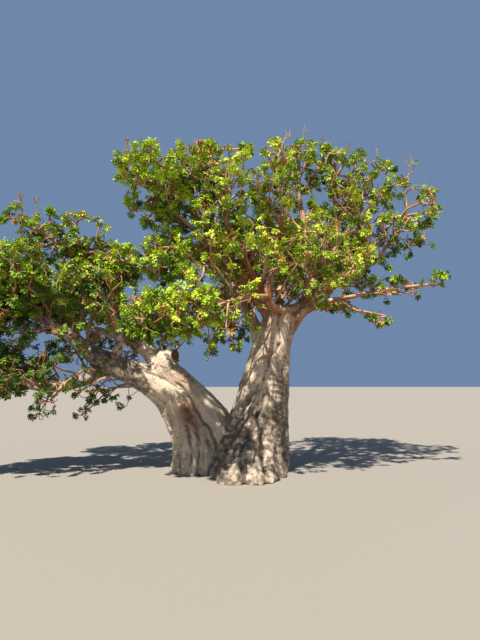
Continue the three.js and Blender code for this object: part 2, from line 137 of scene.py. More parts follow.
@dataclass(frozen=True)
class BoughPlan:
    """What a bough grows from and where, its tip, its bend and its radii, in millimetres."""

    grows_from: str
    at: float
    tip: Spot
    bow: Spot
    girth: tuple[float, float]
    sway: Spot = (0, 0, 0)
    taper: float = 1.0


@dataclass(frozen=True)
class MassPlan:
    """A mass of foliage: its bough, where its stem runs to and its half-width and half-height.

    Fullness runs from 0, a few sprays with sky between them, to 1. Sun is how much painted sunlight its
    greens get.
    """

    on: str
    to: Spot
    space: tuple[float, float]
    fullness: float = 0.7
    sun: float = 0.5


@dataclass(frozen=True)
class Fold:
    """A ridge or crease in a trunk's bark, along a line of compass headings and heights.

    Width and rise are in millimetres. A crease has a rise below 0. The last number is how brown the bark is
    there: stains, and in one band painted shade.
    """

    line: tuple[tuple[float, float], ...]
    width: float
    rise: float
    stain_and_shade: float = 0.0


TRUNKS: dict[str, TrunkPlan] = {
    "main_trunk": TrunkPlan(
        foot=(490, 110, -BELOW_GROUND),
        top=(910, -20, 2860),
        bow=(-95, 30, 0),
        sway=(20, 0, 0),
        girth=(485, 300),
        taper=1.35,
        flutes=(7, 0.045, 0.5),
        roots=(
            Root(-162, 470, 27, 1050),
            Root(-116, 860, 25, 640),
            Root(-84, 560, 15, 460),
            Root(-54, 250, 13, 330),
            Root(-28, 90, 12, 260),
            Root(12, 60, 20, 360),
            Root(58, 300, 20, 480),
            Root(104, 240, 18, 430),
            Root(145, 220, 20, 520),
        ),
    ),
    "left_trunk": TrunkPlan(
        foot=(-640, 150, -BELOW_GROUND),
        top=(-1440, 60, 1800),
        bow=(290, 20, 60),
        sway=(20, 0, 0),
        girth=(480, 350),
        taper=1.4,
        flutes=(6, 0.05, -0.4),
        roots=(
            Root(-100, 110, 24, 450),
            Root(-150, 60, 20, 380),
            Root(168, 50, 18, 380),
            Root(125, 200, 22, 480),
            Root(80, 240, 20, 460),
            Root(-5, 450, 36, 1050),
        ),
    ),
}

BOUGHS: dict[str, BoughPlan] = {
    "left_fore_arm": BoughPlan("left_trunk", 0.8, (-2330, -190, 1985), (0, -60, 20), (300, 170)),
    "left_rear_arm": BoughPlan("left_trunk", 0.76, (-1820, 400, 2330), (30, 90, 110), (270, 135)),
    "sawn_stub": BoughPlan("left_rear_arm", 0.6, (-1085, 60, 2125), (0, 0, 20), (135, 112)),
    "low_left_bough": BoughPlan("left_fore_arm", 0.92, (-3640, -380, 1560), (0, 0, -180), (120, 62)),
    "mid_left_bough": BoughPlan(
        "left_fore_arm", 0.97, (-3555, -300, 2780), (0, 0, 45), (150, 72), (0, 0, -40)
    ),
    "upright_left_bough": BoughPlan(
        "left_fore_arm", 0.9, (-2440, -500, 3350), (235, -60, 0), (76, 42), (30, 0, 0)
    ),
    "rear_left_bough": BoughPlan(
        "left_rear_arm", 0.96, (-3200, 950, 2870), (0, 0, 10), (105, 50), (0, 30, 30)
    ),
    "top_left_bough": BoughPlan(
        "left_rear_arm", 1, (-2920, 250, 3910), (-50, 60, 0), (140, 60), (50, 0, 0)
    ),
    "back_left_bough": BoughPlan("left_rear_arm", 0.7, (-2500, 1500, 2900), (60, 0, 60), (110, 55)),
    "crown_left_arm": BoughPlan(
        "main_trunk", 0.93, (-450, -400, 4130), (60, 20, 60), (150, 84), (0, 0, 40)
    ),
    "crown_left_tip_bough": BoughPlan(
        "crown_left_arm", 0.42, (-960, -860, 4540), (-60, -150, 60), (62, 30)
    ),
    "crown_left_upper_bough": BoughPlan("crown_left_arm", 0.95, (-720, -620, 4680), (60, 0, 0), (62, 36)),
    "crown_left_lower_bough": BoughPlan(
        "crown_left_arm", 0.74, (-640, -800, 3720), (-60, 60, -80), (60, 32)
    ),
    "crown_fore_left_bough": BoughPlan("crown_left_arm", 0.2, (-105, -900, 4340), (60, -60, -60), (78, 38)),
    "crown_right_arm": BoughPlan(
        "main_trunk", 0.76, (2806, 250, 3970), (-140, 0, 230), (190, 38), (0, 0, 40)
    ),
    "crown_fore_bough": BoughPlan(
        "crown_right_arm", 0.36, (900, -780, 4590), (-460, -285, -540), (84, 34), (-120, -100, -75), 1.3
    ),
    "crown_right_low_bough": BoughPlan("main_trunk", 0.9, (2190, -200, 3190), (-30, -30, 120), (90, 30)),
    "crown_top_bough": BoughPlan(
        "crown_right_arm", 0.36, (1400, 640, 5280), (200, 80, 0), (100, 48), (40, 0, 0)
    ),
    "crown_inner_bough": BoughPlan(
        "crown_right_arm", 0.58, (2110, 540, 5050), (90, 120, 0), (56, 32), (-50, 0, 0)
    ),
    "crown_right_upper_bough": BoughPlan(
        "crown_right_arm", 0.93, (2590, 480, 5080), (60, 30, 0), (58, 34), (40, 0, 0)
    ),
    "crown_right_tip_bough": BoughPlan(
        "crown_right_arm", 0.9, (3480, 340, 4960), (-50, 0, 90), (42, 24), (0, 0, -60)
    ),
    "crown_right_hanging_bough": BoughPlan(
        "crown_right_low_bough", 0.85, (2330, -210, 2925), (0, 0, -20), (28, 20)
    ),
    "front_low_bough": BoughPlan("crown_fore_bough", 0.42, (-300, -1500, 2780), (0, -60, 60), (36, 22)),
    "front_right_bough": BoughPlan("crown_right_arm", 0.4, (1435, -900, 3540), (-60, 0, 60), (52, 30)),
    "back_left_arm": BoughPlan("main_trunk", 0.7, (-80, 1200, 3930), (20, -330, 0), (150, 58)),
    "back_bough": BoughPlan("main_trunk", 0.9, (1150, 1650, 4300), (0, 100, 60), (120, 52)),
    "back_right_bough": BoughPlan("main_trunk", 0.86, (2200, 1600, 3900), (0, 60, -60), (120, 52)),
}

MASSES: dict[str, MassPlan] = {
    "low_left_mass": MassPlan("low_left_bough", (-5150, -600, 1950), (620, 430), 0.95, -0.15),
    "low_left_rear_mass": MassPlan("low_left_bough", (-4350, 480, 2300), (480, 430), 0.9, 0.15),
    "mid_left_outer_mass": MassPlan("mid_left_bough", (-5000, -650, 3200), (640, 480), 1.0, 0.25),
    "mid_left_upper_mass": MassPlan("mid_left_bough", (-3950, -750, 4120), (640, 450), 1.0, 0.35),
    "upright_left_mass": MassPlan("upright_left_bough", (-3050, -950, 3350), (460, 440), 0.95, 0.25),
    "left_bridge_mass": MassPlan("upright_left_bough", (-1750, -250, 4050), (430, 400), 0.9, 0.45),
    "top_left_mass": MassPlan("top_left_bough", (-2650, -150, 4450), (520, 350), 0.9, 0.45),
    "top_left_outer_mass": MassPlan("top_left_bough", (-4200, -150, 4740), (500, 340), 0.7, 0.35),
    "rear_left_mass": MassPlan("rear_left_bough", (-4300, 1500, 3500), (650, 500), 0.8, 0.3),
    "back_left_mass": MassPlan("back_left_bough", (-2950, 2300, 3800), (650, 520), 0.8, 0.35),
    "front_low_mass": MassPlan("front_low_bough", (-850, -2200, 2560), (480, 400), 0.85, 0.65),
    "front_low_outer_mass": MassPlan("front_low_bough", (-1750, -1400, 2600), (470, 450), 0.9, 0.5),
    "crown_left_tip_mass": MassPlan("crown_left_tip_bough", (-1700, -1500, 5440), (560, 470), 0.9, 0.6),
    "crown_left_fringe_mass": MassPlan("crown_left_tip_bough", (-1820, -1100, 4600), (350, 260), 0.5, 0.5),
    "crown_left_upper_mass": MassPlan("crown_left_upper_bough", (-600, -1000, 5860), (540, 420), 0.9, 0.5),
    "crown_left_lower_mass": MassPlan(
        "crown_left_lower_bough", (-1500, -1000, 3800), (540, 520), 0.95, 0.55
    ),
    "crown_fore_left_mass": MassPlan("crown_fore_left_bough", (-20, -1300, 5600), (440, 390), 0.65, 0.75),
    "crown_fore_mass": MassPlan("crown_fore_bough", (600, -950, 5780), (520, 430), 0.5, 0.6),
    "crown_top_mass": MassPlan("crown_top_bough", (1400, 720, 6800), (490, 440), 0.55, 0.5),
    "crown_inner_mass": MassPlan("crown_inner_bough", (2180, 640, 6560), (470, 420), 0.65, 0.45),
    "crown_right_upper_mass": MassPlan("crown_right_upper_bough", (3000, 700, 6150), (490, 420), 0.7, 0.35),
    "crown_right_tip_mass": MassPlan("crown_right_tip_bough", (3500, 450, 5800), (360, 320), 0.3, 0.4),
    "crown_right_outer_mass": MassPlan("crown_right_tip_bough", (4320, 500, 5060), (400, 320), 0.2, 0.4),
    "crown_right_mass": MassPlan("crown_right_arm", (3500, -150, 5080), (440, 350), 0.75, 0.3),
    "crown_right_low_mass": MassPlan("crown_right_low_bough", (3950, -300, 3440), (300, 180), 0.35, 0.3),
    "crown_right_hanging_mass": MassPlan(
        "crown_right_hanging_bough", (2980, -300, 2790), (270, 180), 0.25, 0.3
    ),
    "front_right_mass": MassPlan("front_right_bough", (1650, -1450, 4150), (540, 440), 0.6, 0.5),
    "back_left_upper_mass": MassPlan("back_left_arm", (-350, 2000, 5000), (650, 540), 0.7, 0.4),
    "back_low_mass": MassPlan("back_left_arm", (-350, 2000, 2550), (520, 420), 0.6, 0.3),
    "back_mass": MassPlan("back_bough", (1400, 2700, 5500), (680, 580), 0.7, 0.45),
    "back_right_mass": MassPlan("back_right_bough", (3000, 2500, 5000), (680, 580), 0.7, 0.4),
}

# The tips of the bare twigs that stand out of the crown, by the mass that each one grows in
BARE_TWIGS: dict[str, tuple[Spot, ...]] = {
    "top_left_outer_mass": ((-4030, -300, 5190), (-3750, -200, 5150)),
    "crown_left_tip_mass": ((-1720, -1500, 5640),),
    "crown_left_upper_mass": ((-60, -900, 5850),),
    "crown_fore_mass": ((1100, -300, 6420), (735, -600, 6030)),
    "crown_top_mass": ((1525, 600, 7055), (1895, 560, 6785)),
    "crown_right_upper_mass": ((3040, 600, 6510),),
    "crown_right_tip_mass": ((3690, 500, 6290),),
}

# The tips of the twigs at the crown's edge that end in a tuft of leaves
LEAFY_TWIGS: dict[str, tuple[Spot, ...]] = {
    "top_left_outer_mass": ((-4130, -300, 5010), (-4190, -300, 4680), (-3470, -200, 4760)),
    "top_left_mass": ((-3130, -200, 4640), (-2900, -200, 4710), (-2505, -200, 4735), (-2520, -200, 4617)),
    "crown_left_upper_mass": ((210, -900, 5750), (-451, -900, 5800)),
    "crown_left_lower_mass": ((-640, -1100, 3440),),
    "crown_fore_mass": ((760, -400, 6120),),
    "crown_top_mass": ((1600, 600, 6730), (1920, 500, 6430)),
    "crown_inner_mass": ((2400, 300, 6480),),
    "crown_right_upper_mass": ((3230, 500, 6000), (2632, 600, 6336)),
    "crown_right_tip_mass": ((3720, 450, 5970), (3550, 450, 5800)),
    "crown_right_outer_mass": ((4050, 450, 5490), (4150, 450, 5050), (3890, 450, 4820), (3833, 400, 4405)),
    "crown_right_mass": ((3650, 350, 4430), (3547, 300, 4231), (2908, 0, 3929)),
    "crown_right_low_mass": (
        (3860, -300, 3520), (3720, -300, 3360), (3335, -250, 3445), (3035, -200, 3475),
        (2605, -200, 3455),
    ),
    "crown_right_hanging_mass": ((2700, -300, 2790),),
    "back_left_mass": ((-2887, 1500, 2496), (-3035, 1400, 2574), (-2200, 1400, 2270)),
    "low_left_rear_mass": ((-3664, 500, 2291),),
    "back_low_mass": ((208, 1800, 2635), (95, 1800, 2431), (299, 1800, 2839), (-547, 2000, 2263)),
    "crown_left_tip_mass": ((-1820, -1500, 5250), (-1360, -1500, 5430)),
    "crown_left_fringe_mass": ((-1779, -1100, 4593),),
    "back_mass": (
        (1350, 1600, 6350), (1750, 1750, 6200), (1050, 1850, 6150), (1400, 2250, 6150),
        (1950, 2200, 5850), (750, 1700, 5750),
    ),
    "back_right_mass": ((2350, 1700, 5950), (2800, 1550, 5700)),
    "back_left_upper_mass": ((250, 1500, 5700), (-300, 1250, 5500)),
}

# Where the eye sees the sky through the tree: degrees to the right, degrees up and half the width
OPENINGS: dict[str, tuple[tuple[float, float, float], ...]] = {
    "left boughs": (
        (-15.5, 19.9, 1.7), (-13.0, 17.7, 1.1), (-26.2, 15.9, 0.7), (-18.4, 17.4, 0.7),
        (-19.7, 1.7, 0.8), (-23.6, 3.5, 0.5), (-22.4, 5.1, 0.7), (-13.3, 10.7, 0.6),
    ),
    "trunks": (
        (-5.7, 3.3, 1.5), (-1.4, 2.0, 2.1), (-3.8, 6.5, 0.5), (2.3, 8.0, 0.5),
    ),
    "right boughs": (
        (10.2, 7.3, 1.3), (14.6, 5.2, 1.4), (16.5, 13.0, 0.8), (21.5, 14.0, 1.3), (17.5, 15.4, 0.6),
        (19.3, 19.9, 0.8), (11.4, 10.5, 0.6), (24.4, 20.1, 0.9), (19.7, 20.1, 0.7), (24.3, 18.7, 0.8),
        (20.7, 19.3, 0.7), (22.1, 10.1, 1.0), (20.1, 12.0, 0.6),
    ),
    "crown": (
        (15.0, 20.8, 0.4), (16.9, 22.7, 0.6), (12.5, 24.1, 0.6), (9.9, 21.5, 0.7), (8.0, 20.4, 0.6),
        (7.8, 23.8, 0.5), (1.6, 25.9, 0.6), (-11.9, 21.7, 0.6), (-14.2, 22.2, 0.5), (6.6, 22.4, 0.5),
    ),
    "top edge": (
        (3.9, 28.8, 0.8), (6.4, 28.6, 0.5), (9.8, 28.5, 0.8), (14.2, 27.8, 0.9), (20.5, 23.3, 0.8),
        (22.5, 21.8, 0.4), (-26.5, 20.3, 0.7), (-7.1, 28.2, 0.5), (-14.6, 26.6, 0.4),
    ),
}

# Degrees round an opening that stay free too
OPENING_MARGIN = 0.15

# The seed of the first bough's side shoots, and how many each bough bears
FIRST_SHOOT_SEED = 101
SIDE_SHOOTS: dict[str, int] = {
    "crown_left_arm": 18, "crown_left_tip_bough": 5, "crown_left_upper_bough": 6,
    "crown_left_lower_bough": 6, "crown_fore_left_bough": 9, "crown_fore_bough": 17,
    "crown_right_arm": 14, "crown_right_low_bough": 6, "crown_top_bough": 16,
    "crown_inner_bough": 11, "crown_right_upper_bough": 9, "crown_right_tip_bough": 4,
    "front_low_bough": 9, "front_right_bough": 7, "back_left_arm": 10, "back_bough": 10,
    "back_right_bough": 9, "low_left_bough": 15, "mid_left_bough": 12, "upright_left_bough": 7,
    "rear_left_bough": 7, "top_left_bough": 9, "back_left_bough": 7, "left_fore_arm": 5,
    "left_rear_arm": 8,
}

# How much painted sunlight the greens of the side shoots get on the boughs that stand in shade
SHADED_SHOOTS: dict[str, float] = {
    "low_left_bough": -0.2,
    "mid_left_bough": 0.15,
    "left_fore_arm": 0.0,
    "left_rear_arm": 0.0,
    "upright_left_bough": 0.25,
}

FOLDS: dict[str, tuple[Fold, ...]] = {
    "main_trunk": (
        Fold(((-66, 2620), (-52, 2360), (-44, 2150)), 92, 37),
        Fold(((-100, 2820), (-85, 2560), (-74, 2300)), 34, -25),
        Fold(((-74, 2300), (-86, 2195), (-97, 1980)), 34, -19),
        Fold(((-74, 2300), (-54, 2165), (-38, 2050)), 34, -20),
        Fold(((-103, 2050),), 105, 34, 0.5),
        Fold(((-103, 2050),), 58, -29, 0.5),
        # A wide brown band up the right of the main trunk's top, with no rise, is painted shade
        Fold(((-8, 2900), (-4, 2500), (0, 2200)), 190, 0, 0.8),
        Fold(((-88, 1715), (-50, 1675)), 24, 16),
        Fold(((-86, 1605), (-43, 1570)), 24, 16),
        Fold(((-82, 1497), (-38, 1460)), 24, 16),
        Fold(((-76, 1392), (-32, 1335)), 26, 18),
        Fold(((-63, 1287), (-28, 1278)), 28, 18),
        Fold(((-62, 1190), (-52, 1120)), 60, -40, 0.6),
        Fold(((-72, 1060), (-48, 980)), 36, 26),
        Fold(((-80, 900), (-55, 860)), 36, 24, 0.4),
        Fold(((-70, 760), (-52, 700)), 36, 22),
        Fold(((-113, 2160), (-130, 1730), (-145, 1390), (-156, 1070)), 62, 32),
        Fold(((-98, 1800), (-118, 1445), (-135, 1090), (-146, 780)), 47, -29),
        Fold(((-103, 1570), (-119, 1215), (-135, 870), (-146, 525)), 60, 35),
        Fold(((-93, 1390), (-105, 1045), (-112, 645), (-117, 280)), 49, -32),
        Fold(((-86, 1215), (-99, 880), (-105, 490), (-108, 105)), 70, 42),
        Fold(((-100, 1045), (-92, 635), (-88, 370), (-86, -20)), 46, -115),
        Fold(((-80, 420), (-75, 60)), 48, 50),
        Fold(((-61, 252), (-57, 0)), 50, 48),
        Fold(((-110, 330), (-103, 0)), 42, -70),
        Fold(((-140, 430), (-131, 0)), 46, -70),
        Fold(((-127, 420), (-119, 0)), 60, 38),
        Fold(((-99, 430), (-95, 0)), 55, 35),
        Fold(((-20, 2300), (-14, 1500), (-22, 700), (-30, 0)), 44, -21),
        Fold(((6, 2000), (12, 1200), (4, 300)), 80, 32),
        Fold(((34, 2200), (42, 1300), (36, 400), (40, 0)), 52, -34),
        Fold(((60, 1500), (66, 800), (62, 100)), 85, 44),
        Fold(((88, 2300), (84, 1500), (80, 700), (82, 0)), 55, -37),
        Fold(((112, 1700), (106, 900), (104, 200)), 85, 42),
        Fold(((136, 2200), (128, 1400), (124, 600), (122, 0)), 52, -34),
        Fold(((160, 1300), (150, 700), (146, 100)), 80, 38),
        Fold(((176, 900), (170, 300), (168, 0)), 52, -31),
        Fold(((95, 1950),), 60, -45, 0.6),
        Fold(((20, 1150),), 55, -40, 0.5),
    ),
    "left_trunk": (
        Fold(((-50, 1560), (-55, 1230), (-58, 915), (-52, 635), (-45, 300)), 38, -66),
        Fold(((-42, 1500), (-44, 1090), (-40, 860), (-35, 600)), 72, 30),
        Fold(((-161, 900), (-160, 0)), 60, 24),
        Fold(((-124, 775), (-132, 400), (-138, 0)), 44, -29),
        Fold(((-104, 940), (-116, 500), (-123, 0)), 58, 35),
        Fold(((-99, 830), (-107, 0)), 42, -30),
        Fold(((-91, 900), (-96, 450), (-98, 0)), 44, 34),
        Fold(((-84, 710), (-88, 0)), 39, -29),
        Fold(((-69, 780), (-72, 300), (-70, 0)), 55, 34),
        Fold(((-38, 1620),), 84, 26, 0.5),
        Fold(((-38, 1620),), 49, -29, 0.5),
        Fold(((-101, 1820), (-75, 1675), (-60, 1500)), 39, -22),
        Fold(((-72, 1215), (-83, 1020), (-88, 830)), 120, -10, 0.9),
        Fold(((-118, 1500), (-112, 1250)), 60, 26),
        Fold(((-135, 1350), (-128, 1050)), 44, -21),
        Fold(((170, 1300), (176, 700), (170, 0)), 49, -29),
        Fold(((148, 1100), (152, 500), (150, 0)), 75, 37),
        Fold(((126, 1500), (122, 800), (124, 0)), 49, -32),
        Fold(((98, 1400), (100, 700), (96, 0)), 80, 40),
        Fold(((70, 1500), (72, 800), (66, 0)), 52, -34),
        Fold(((40, 1300), (36, 600), (34, 0)), 75, 35),
        Fold(((110, 1250),), 55, -42, 0.6),
    ),
}


def mix(a: float, b: float, share: float) -> float:
    """The number that lies that share of the way from a to b."""
    return a + (b - a) * share


def unit(vector: np.ndarray) -> np.ndarray:
    """The same direction with length 1, for one vector or for rows of them."""
    return vector / np.maximum(np.linalg.norm(vector, axis=-1, keepdims=True), 1e-9)


def rows_dot(one: np.ndarray, other: np.ndarray) -> np.ndarray:
    """How far each row of one runs along the same row of the other."""
    return np.einsum("ij,ij->i", one, other)


def linear(red: int, green: int, blue: int) -> Colour:
    """A screen colour from 0 to 255 as the linear colour that shaders take."""
    parts = []
    for value in (red, green, blue):
        c = value / 255
        parts.append(c / 12.92 if c <= 0.04045 else ((c + 0.055) / 1.055) ** 2.4)
    return (*parts, 1.0)


class Dice:
    """A repeatable stream of numbers from 0 to 1, the same one as in the part's source."""

    def __init__(self, seed: int) -> None:
        """Starts the stream from a seed."""
        self.state = seed & 0xFFFFFFFF

    def roll(self) -> float:
        """The next number."""
        self.state = (self.state + 0x6D2B79F5) & 0xFFFFFFFF
        t = ((self.state ^ (self.state >> 15)) * (self.state | 1)) & 0xFFFFFFFF
        t ^= (t + (((t ^ (t >> 7)) * (t | 61)) & 0xFFFFFFFF)) & 0xFFFFFFFF
        t &= 0xFFFFFFFF
        return ((t ^ (t >> 14)) & 0xFFFFFFFF) / 4294967296


class Route:
    """The line that a limb follows: a straight run with a bow and a sway, in millimetres."""

    def __init__(self, start: Place, end: Place, bow: Place = (0, 0, 0), sway: Place = (0, 0, 0)) -> None:
        """Keeps the run's ends and bends."""
        self.start = np.asarray(start, float)
        self.end = np.asarray(end, float)
        self.bow = np.asarray(bow, float)
        self.sway = np.asarray(sway, float)

    def at(self, share: float | np.ndarray) -> np.ndarray:
        """The point, or the rows of points, at a share of the run.

        Args:
            share: From 0 at the foot to 1 at the tip.

        Returns:
            One point, or one row for each share.
        """
        t = np.asarray(share, float)[..., None]
        run = self.start + (self.end - self.start) * t
        return run + self.bow * 4 * t * (1 - t) + self.sway * np.sin(2 * np.pi * t)

    def heading(self, share: float) -> np.ndarray:
        """The direction of growth at a share of the run."""
        step = 0.01
        return unit(self.at(min(1, share + step)) - self.at(max(0, share - step)))

    def length(self) -> float:
        """The straight distance from foot to tip."""
        return float(np.linalg.norm(self.end - self.start))


def square_to(direction: np.ndarray) -> tuple[np.ndarray, np.ndarray]:
    """Two directions square to each other and to the one given.

    Args:
        direction: A unit vector.

    Returns:
        A level direction, and one as near up as it can be.
    """
    side = np.cross(direction, UP)
    if np.linalg.norm(side) < 0.05:
        side = np.array([1.0, 0.0, 0.0])
    side = unit(side)
    return side, unit(np.cross(side, direction))


def turned(turn: float, side: np.ndarray, over: np.ndarray) -> np.ndarray:
    """The direction at a turn from one direction towards another."""
    return side * math.cos(turn) + over * math.sin(turn)


def ring(size: float | np.ndarray, turns: np.ndarray, side: np.ndarray, over: np.ndarray) -> np.ndarray:
    """Rows of steps from a middle, at turns from one direction towards another."""
    return np.outer(size * np.cos(turns), side) + np.outer(size * np.sin(turns), over)


def short_turn(degrees: float | np.ndarray) -> float | np.ndarray:
    """An angle as the same turn between -180 and 180 degrees."""
    return (degrees + 540) % 360 - 180


def collar(share: float, rise: float, reach: float) -> float:
    """How much stouter a bough is at a share of its run for the collar at its foot."""
    return 1 + rise * math.exp(-((share / reach) ** 2))


def is_one_of_two(plan: MassPlan) -> bool:
    """True for a mass whose bough bears another one too."""
    return sum(other.on == plan.on for other in MASSES.values()) > 1


@dataclass
class Space:
    """The ellipsoid that a mass of foliage keeps to."""

    centre: np.ndarray
    axes: np.ndarray
    sizes: np.ndarray

    def depth(self, points: np.ndarray) -> np.ndarray:
        """How far out each point lies: 0 at the centre and 1 at the edge."""
        return np.linalg.norm((points - self.centre) @ self.axes.T / self.sizes, axis=-1)


@dataclass
class Stem:
    """The stem of a mass: the line that it follows and its radius at the foot."""

    route: Route
    radius: float


class Skeleton:
    """Where every trunk, bough and stem runs, worked out from the plans."""

    def __init__(self) -> None:
        """Lays out the routes, stems and spaces, and samples them for the tests of clearance."""
        routes = {name: Route(plan.foot, plan.top, plan.bow, plan.sway) for name, plan in TRUNKS.items()}
        for name, bough in BOUGHS.items():
            start = routes[bough.grows_from].at(bough.at)
            routes[name] = Route(start, bough.tip, bough.bow, bough.sway)
        self.routes = routes
        self.stems = {name: self._stem(plan) for name, plan in MASSES.items()}
        self.spaces = {name: self._space(plan) for name, plan in MASSES.items()}
        shares = np.arange(LIMB_SAMPLES) / (LIMB_SAMPLES - 1)
        limbs = [(name, way, [self.thickness(name, t) for t in shares]) for name, way in routes.items()]
        limbs += [(name, stem.route, [stem.radius] * LIMB_SAMPLES) for name, stem in self.stems.items()]
        self.spots = np.vstack([route.at(shares) for _, route, _ in limbs])
        self.sizes = np.concatenate([sizes for _, _, sizes in limbs])
        self.owners = np.repeat([name for name, _, _ in limbs], LIMB_SAMPLES)

    def thickness(self, name: str, share: float) -> float:
        """A limb's radius at a share of its run, taken wide for a trunk."""
        if name in TRUNKS:
            return TRUNKS[name].girth[0] * TRUNK_ROOM
        return self.bough_radius(name, share)

    def bough_radius(self, name: str, share: float) -> float:
        """A bough's radius at a share of its run."""
        plan = BOUGHS[name]
        return mix(plan.girth[1], plan.girth[0], (1 - share) ** plan.taper)

    def _stem(self, plan: MassPlan) -> Stem:
        """The stem of a mass, beside the other one where two share a bough's tip."""
        route = self.routes[plan.on]
        tip_radius = BOUGHS[plan.on].girth[1]
        heading = route.heading(1)
        towards = unit(np.array(plan.to) - route.end)
        start = route.end - heading * STEM_SUNK
        shared = is_one_of_two(plan)
        if shared:
            start = start + unit(towards - heading * (towards @ heading)) * STEMS_APART * tip_radius
        lift = STEM_LIFT * np.linalg.norm(np.array(plan.to) - start)
        bend = (heading - towards) * lift + UP * STEM_RISE * lift
        tip = np.array(plan.to) - towards * STEM_SHORT
        return Stem(Route(start, tip, bend), (SHARED_STEM_SHARE if shared else STEM_SHARE) * tip_radius)

    def _space(self, plan: MassPlan) -> Space:
        """The ellipsoid round the run from the bough's tip to where the stem is bound."""
        start, end = self.routes[plan.on].end, np.array(plan.to, float)
        along = unit(end - start)
        side, over = square_to(along)
        half = 0.5 * np.linalg.norm(end - start)
        middle = start + (end - start) * SPACE_MIDDLE
        return Space(middle, np.array([along, side, over]), np.array([half, *plan.space]))

    def clear(self, points: np.ndarray, room: float, owner: str) -> np.ndarray:
        """Which points stand clear of every limb and of the other masses' stems.

        Args:
            points: Rows of points.
            room: How far each one must be from every surface.
            owner: The mass whose own stem doesn't count.

        Returns:
            True for each point that is clear.
        """
        others = self.owners != owner
        gaps = np.linalg.norm(points[:, None, :] - self.spots[None, others, :], axis=2) - self.sizes[others]
        return np.all(gaps >= room, axis=1)

    def keeps(
        self, points: np.ndarray, owner: str, edge: float = SPACE_EDGE, margin: float = SPACE_MARGIN
    ) -> np.ndarray:
        """Which points lie in their owner's space and not nearer the middle of another one.

        Args:
            points: Rows of points.
            owner: The mass that the space belongs to.
            edge: How far out they may lie in it.
            margin: How much farther out they must lie in every other space.

        Returns:
            True for each point that keeps to it.
        """
        own = self.spaces[owner].depth(points)
        inside = own <= edge
        for name, space in self.spaces.items():
            if name != owner:
                inside &= space.depth(points) > own + margin
        return inside


@dataclass
class Shoot:
    """A twig with the spray at its tip: its route, the way the spray faces and its size."""

    route: Route
    face: np.ndarray
    size: float = 0.0


class Network:
    """A branching net of twigs, kept as points that each know the one they grow from."""

    twig_steps = (0.33, 0.67, 1.0)
    kink = 0.045
    bend = 0.45
    sag = 0.05
    rosette_reach = (90.0, 165.0)
    spray_forward = 0.6
    spray_spread = 0.75
    spray_lift = 0.15
    leaf_room = 25.0
    room_in_box = (40.0, 20.0)
    bare_weight = 2
    finest = 7.0
    thickening = 0.46

    def __init__(self, name: str, skeleton: Skeleton, seed: int) -> None:
        """Starts an empty net.

        Args:
            name: The mass or bough that it belongs to.
            skeleton: Where the limbs run.
            seed: The seed of its chances.
        """
        self.name, self.skeleton = name, skeleton
        self.chance = np.random.default_rng(seed * 7 + 3)
        self.points: list[np.ndarray] = []
        self.parents: list[int] = []
        self.tips: list[int] = []
        self.bare: list[int] = []

    def add_line(self, line: np.ndarray, parent: int) -> int:
        """Adds a run of points from one that is already there, and returns the last one's number."""
        for point in line:
            self.points.append(point)
            self.parents.append(parent)
            parent = len(self.points) - 1
        return parent

    def add_twig(self, foot: int, tip: np.ndarray) -> int:
        """Adds a curved, slightly kinked twig from a point of the net to a tip.

        Args:
            foot: The number of the point that it leaves.
            tip: Where it ends.

        Returns:
            The tip's number.
        """
        start = self.points[foot]
        before = self.points[self.parents[foot]] if self.parents[foot] >= 0 else start - UP
        reach = float(np.linalg.norm(tip - start))
        lean = unit(unit(start - before) + unit(tip - start))
        middle = start + lean * self.bend * reach - UP * self.sag * reach
        t = np.array(self.twig_steps)[:, None]
        line = (1 - t) ** 2 * start + 2 * t * (1 - t) * middle + t**2 * tip
        line[:-1] += self.chance.normal(0, self.kink * reach, (2, 3))
        return self.add_line(line, foot)

    def in_reach(self, places: np.ndarray) -> np.ndarray:
        """Which places lie inside the solids' box, with room for a rosette's leaves."""
        low, high = np.array(CAD_BOX) / MM
        over, under = self.room_in_box
        return np.all((places > low + over) & (places < high - under), axis=-1)

    def in_opening(self, place: np.ndarray) -> bool:
        """True for a place that would hide one of the openings where the sky shows."""
        right, ahead, up = place - EYE
        bearing = math.degrees(math.atan2(right, ahead))
        rise = math.degrees(math.atan2(up, math.hypot(right, ahead)))
        narrower = math.cos(math.radians(rise))
        return any(
            math.hypot((bearing - across) * narrower, rise - above) < half + OPENING_MARGIN
            for region in OPENINGS.values()
            for across, above, half in region
        )

    def fits(self, tip: np.ndarray) -> bool:
        """True where a rosette's tip has room."""
        if not self.in_reach(tip) or self.in_opening(tip):
            return False
        return bool(self.skeleton.clear(tip[None], self.leaf_room, "")[0])

    def is_inner(self, tip: np.ndarray) -> bool:
        """True where a tip lies too deep in the shade to bear leaves."""
        return False

    def add_spray(self, centre: int, count: int, bare_share: float) -> None:
        """Adds short twigs round a point, each with a rosette of leaves or bare.

        Args:
            centre: The number of the point that they leave.
            count: How many there are.
            bare_share: The share of them that have no leaves.
        """
        start = self.points[centre]
        heading = unit(start - self.points[self.parents[centre]])
        for _ in range(count):
            stray = self.chance.normal(0, self.spray_spread, 3)
            way = unit(heading * self.spray_forward + stray + UP * self.spray_lift)
            tip = start + way * self.chance.uniform(*self.rosette_reach)
            if not self.fits(tip):
                continue
            number = self.add_twig(centre, tip)
            leafless = self.is_inner(tip) or self.chance.random() < bare_share
            (self.bare if leafless else self.tips).append(number)

    def fed(self) -> np.ndarray:
        """How many tips each point of the net feeds."""
        fed = np.zeros(len(self.points))
        for tip in self.tips:
            fed[tip] += 1
        for tip in self.bare:
            fed[tip] += self.bare_weight
        for i in range(len(self.points) - 1, 0, -1):
            if self.parents[i] >= 0:
                fed[self.parents[i]] += fed[i]
        return fed

    def radii(self) -> np.ndarray:
        """The radius in millimetres at each point of the net, from how much it feeds."""
        return self.finest * np.maximum(self.fed(), 1) ** self.thickening


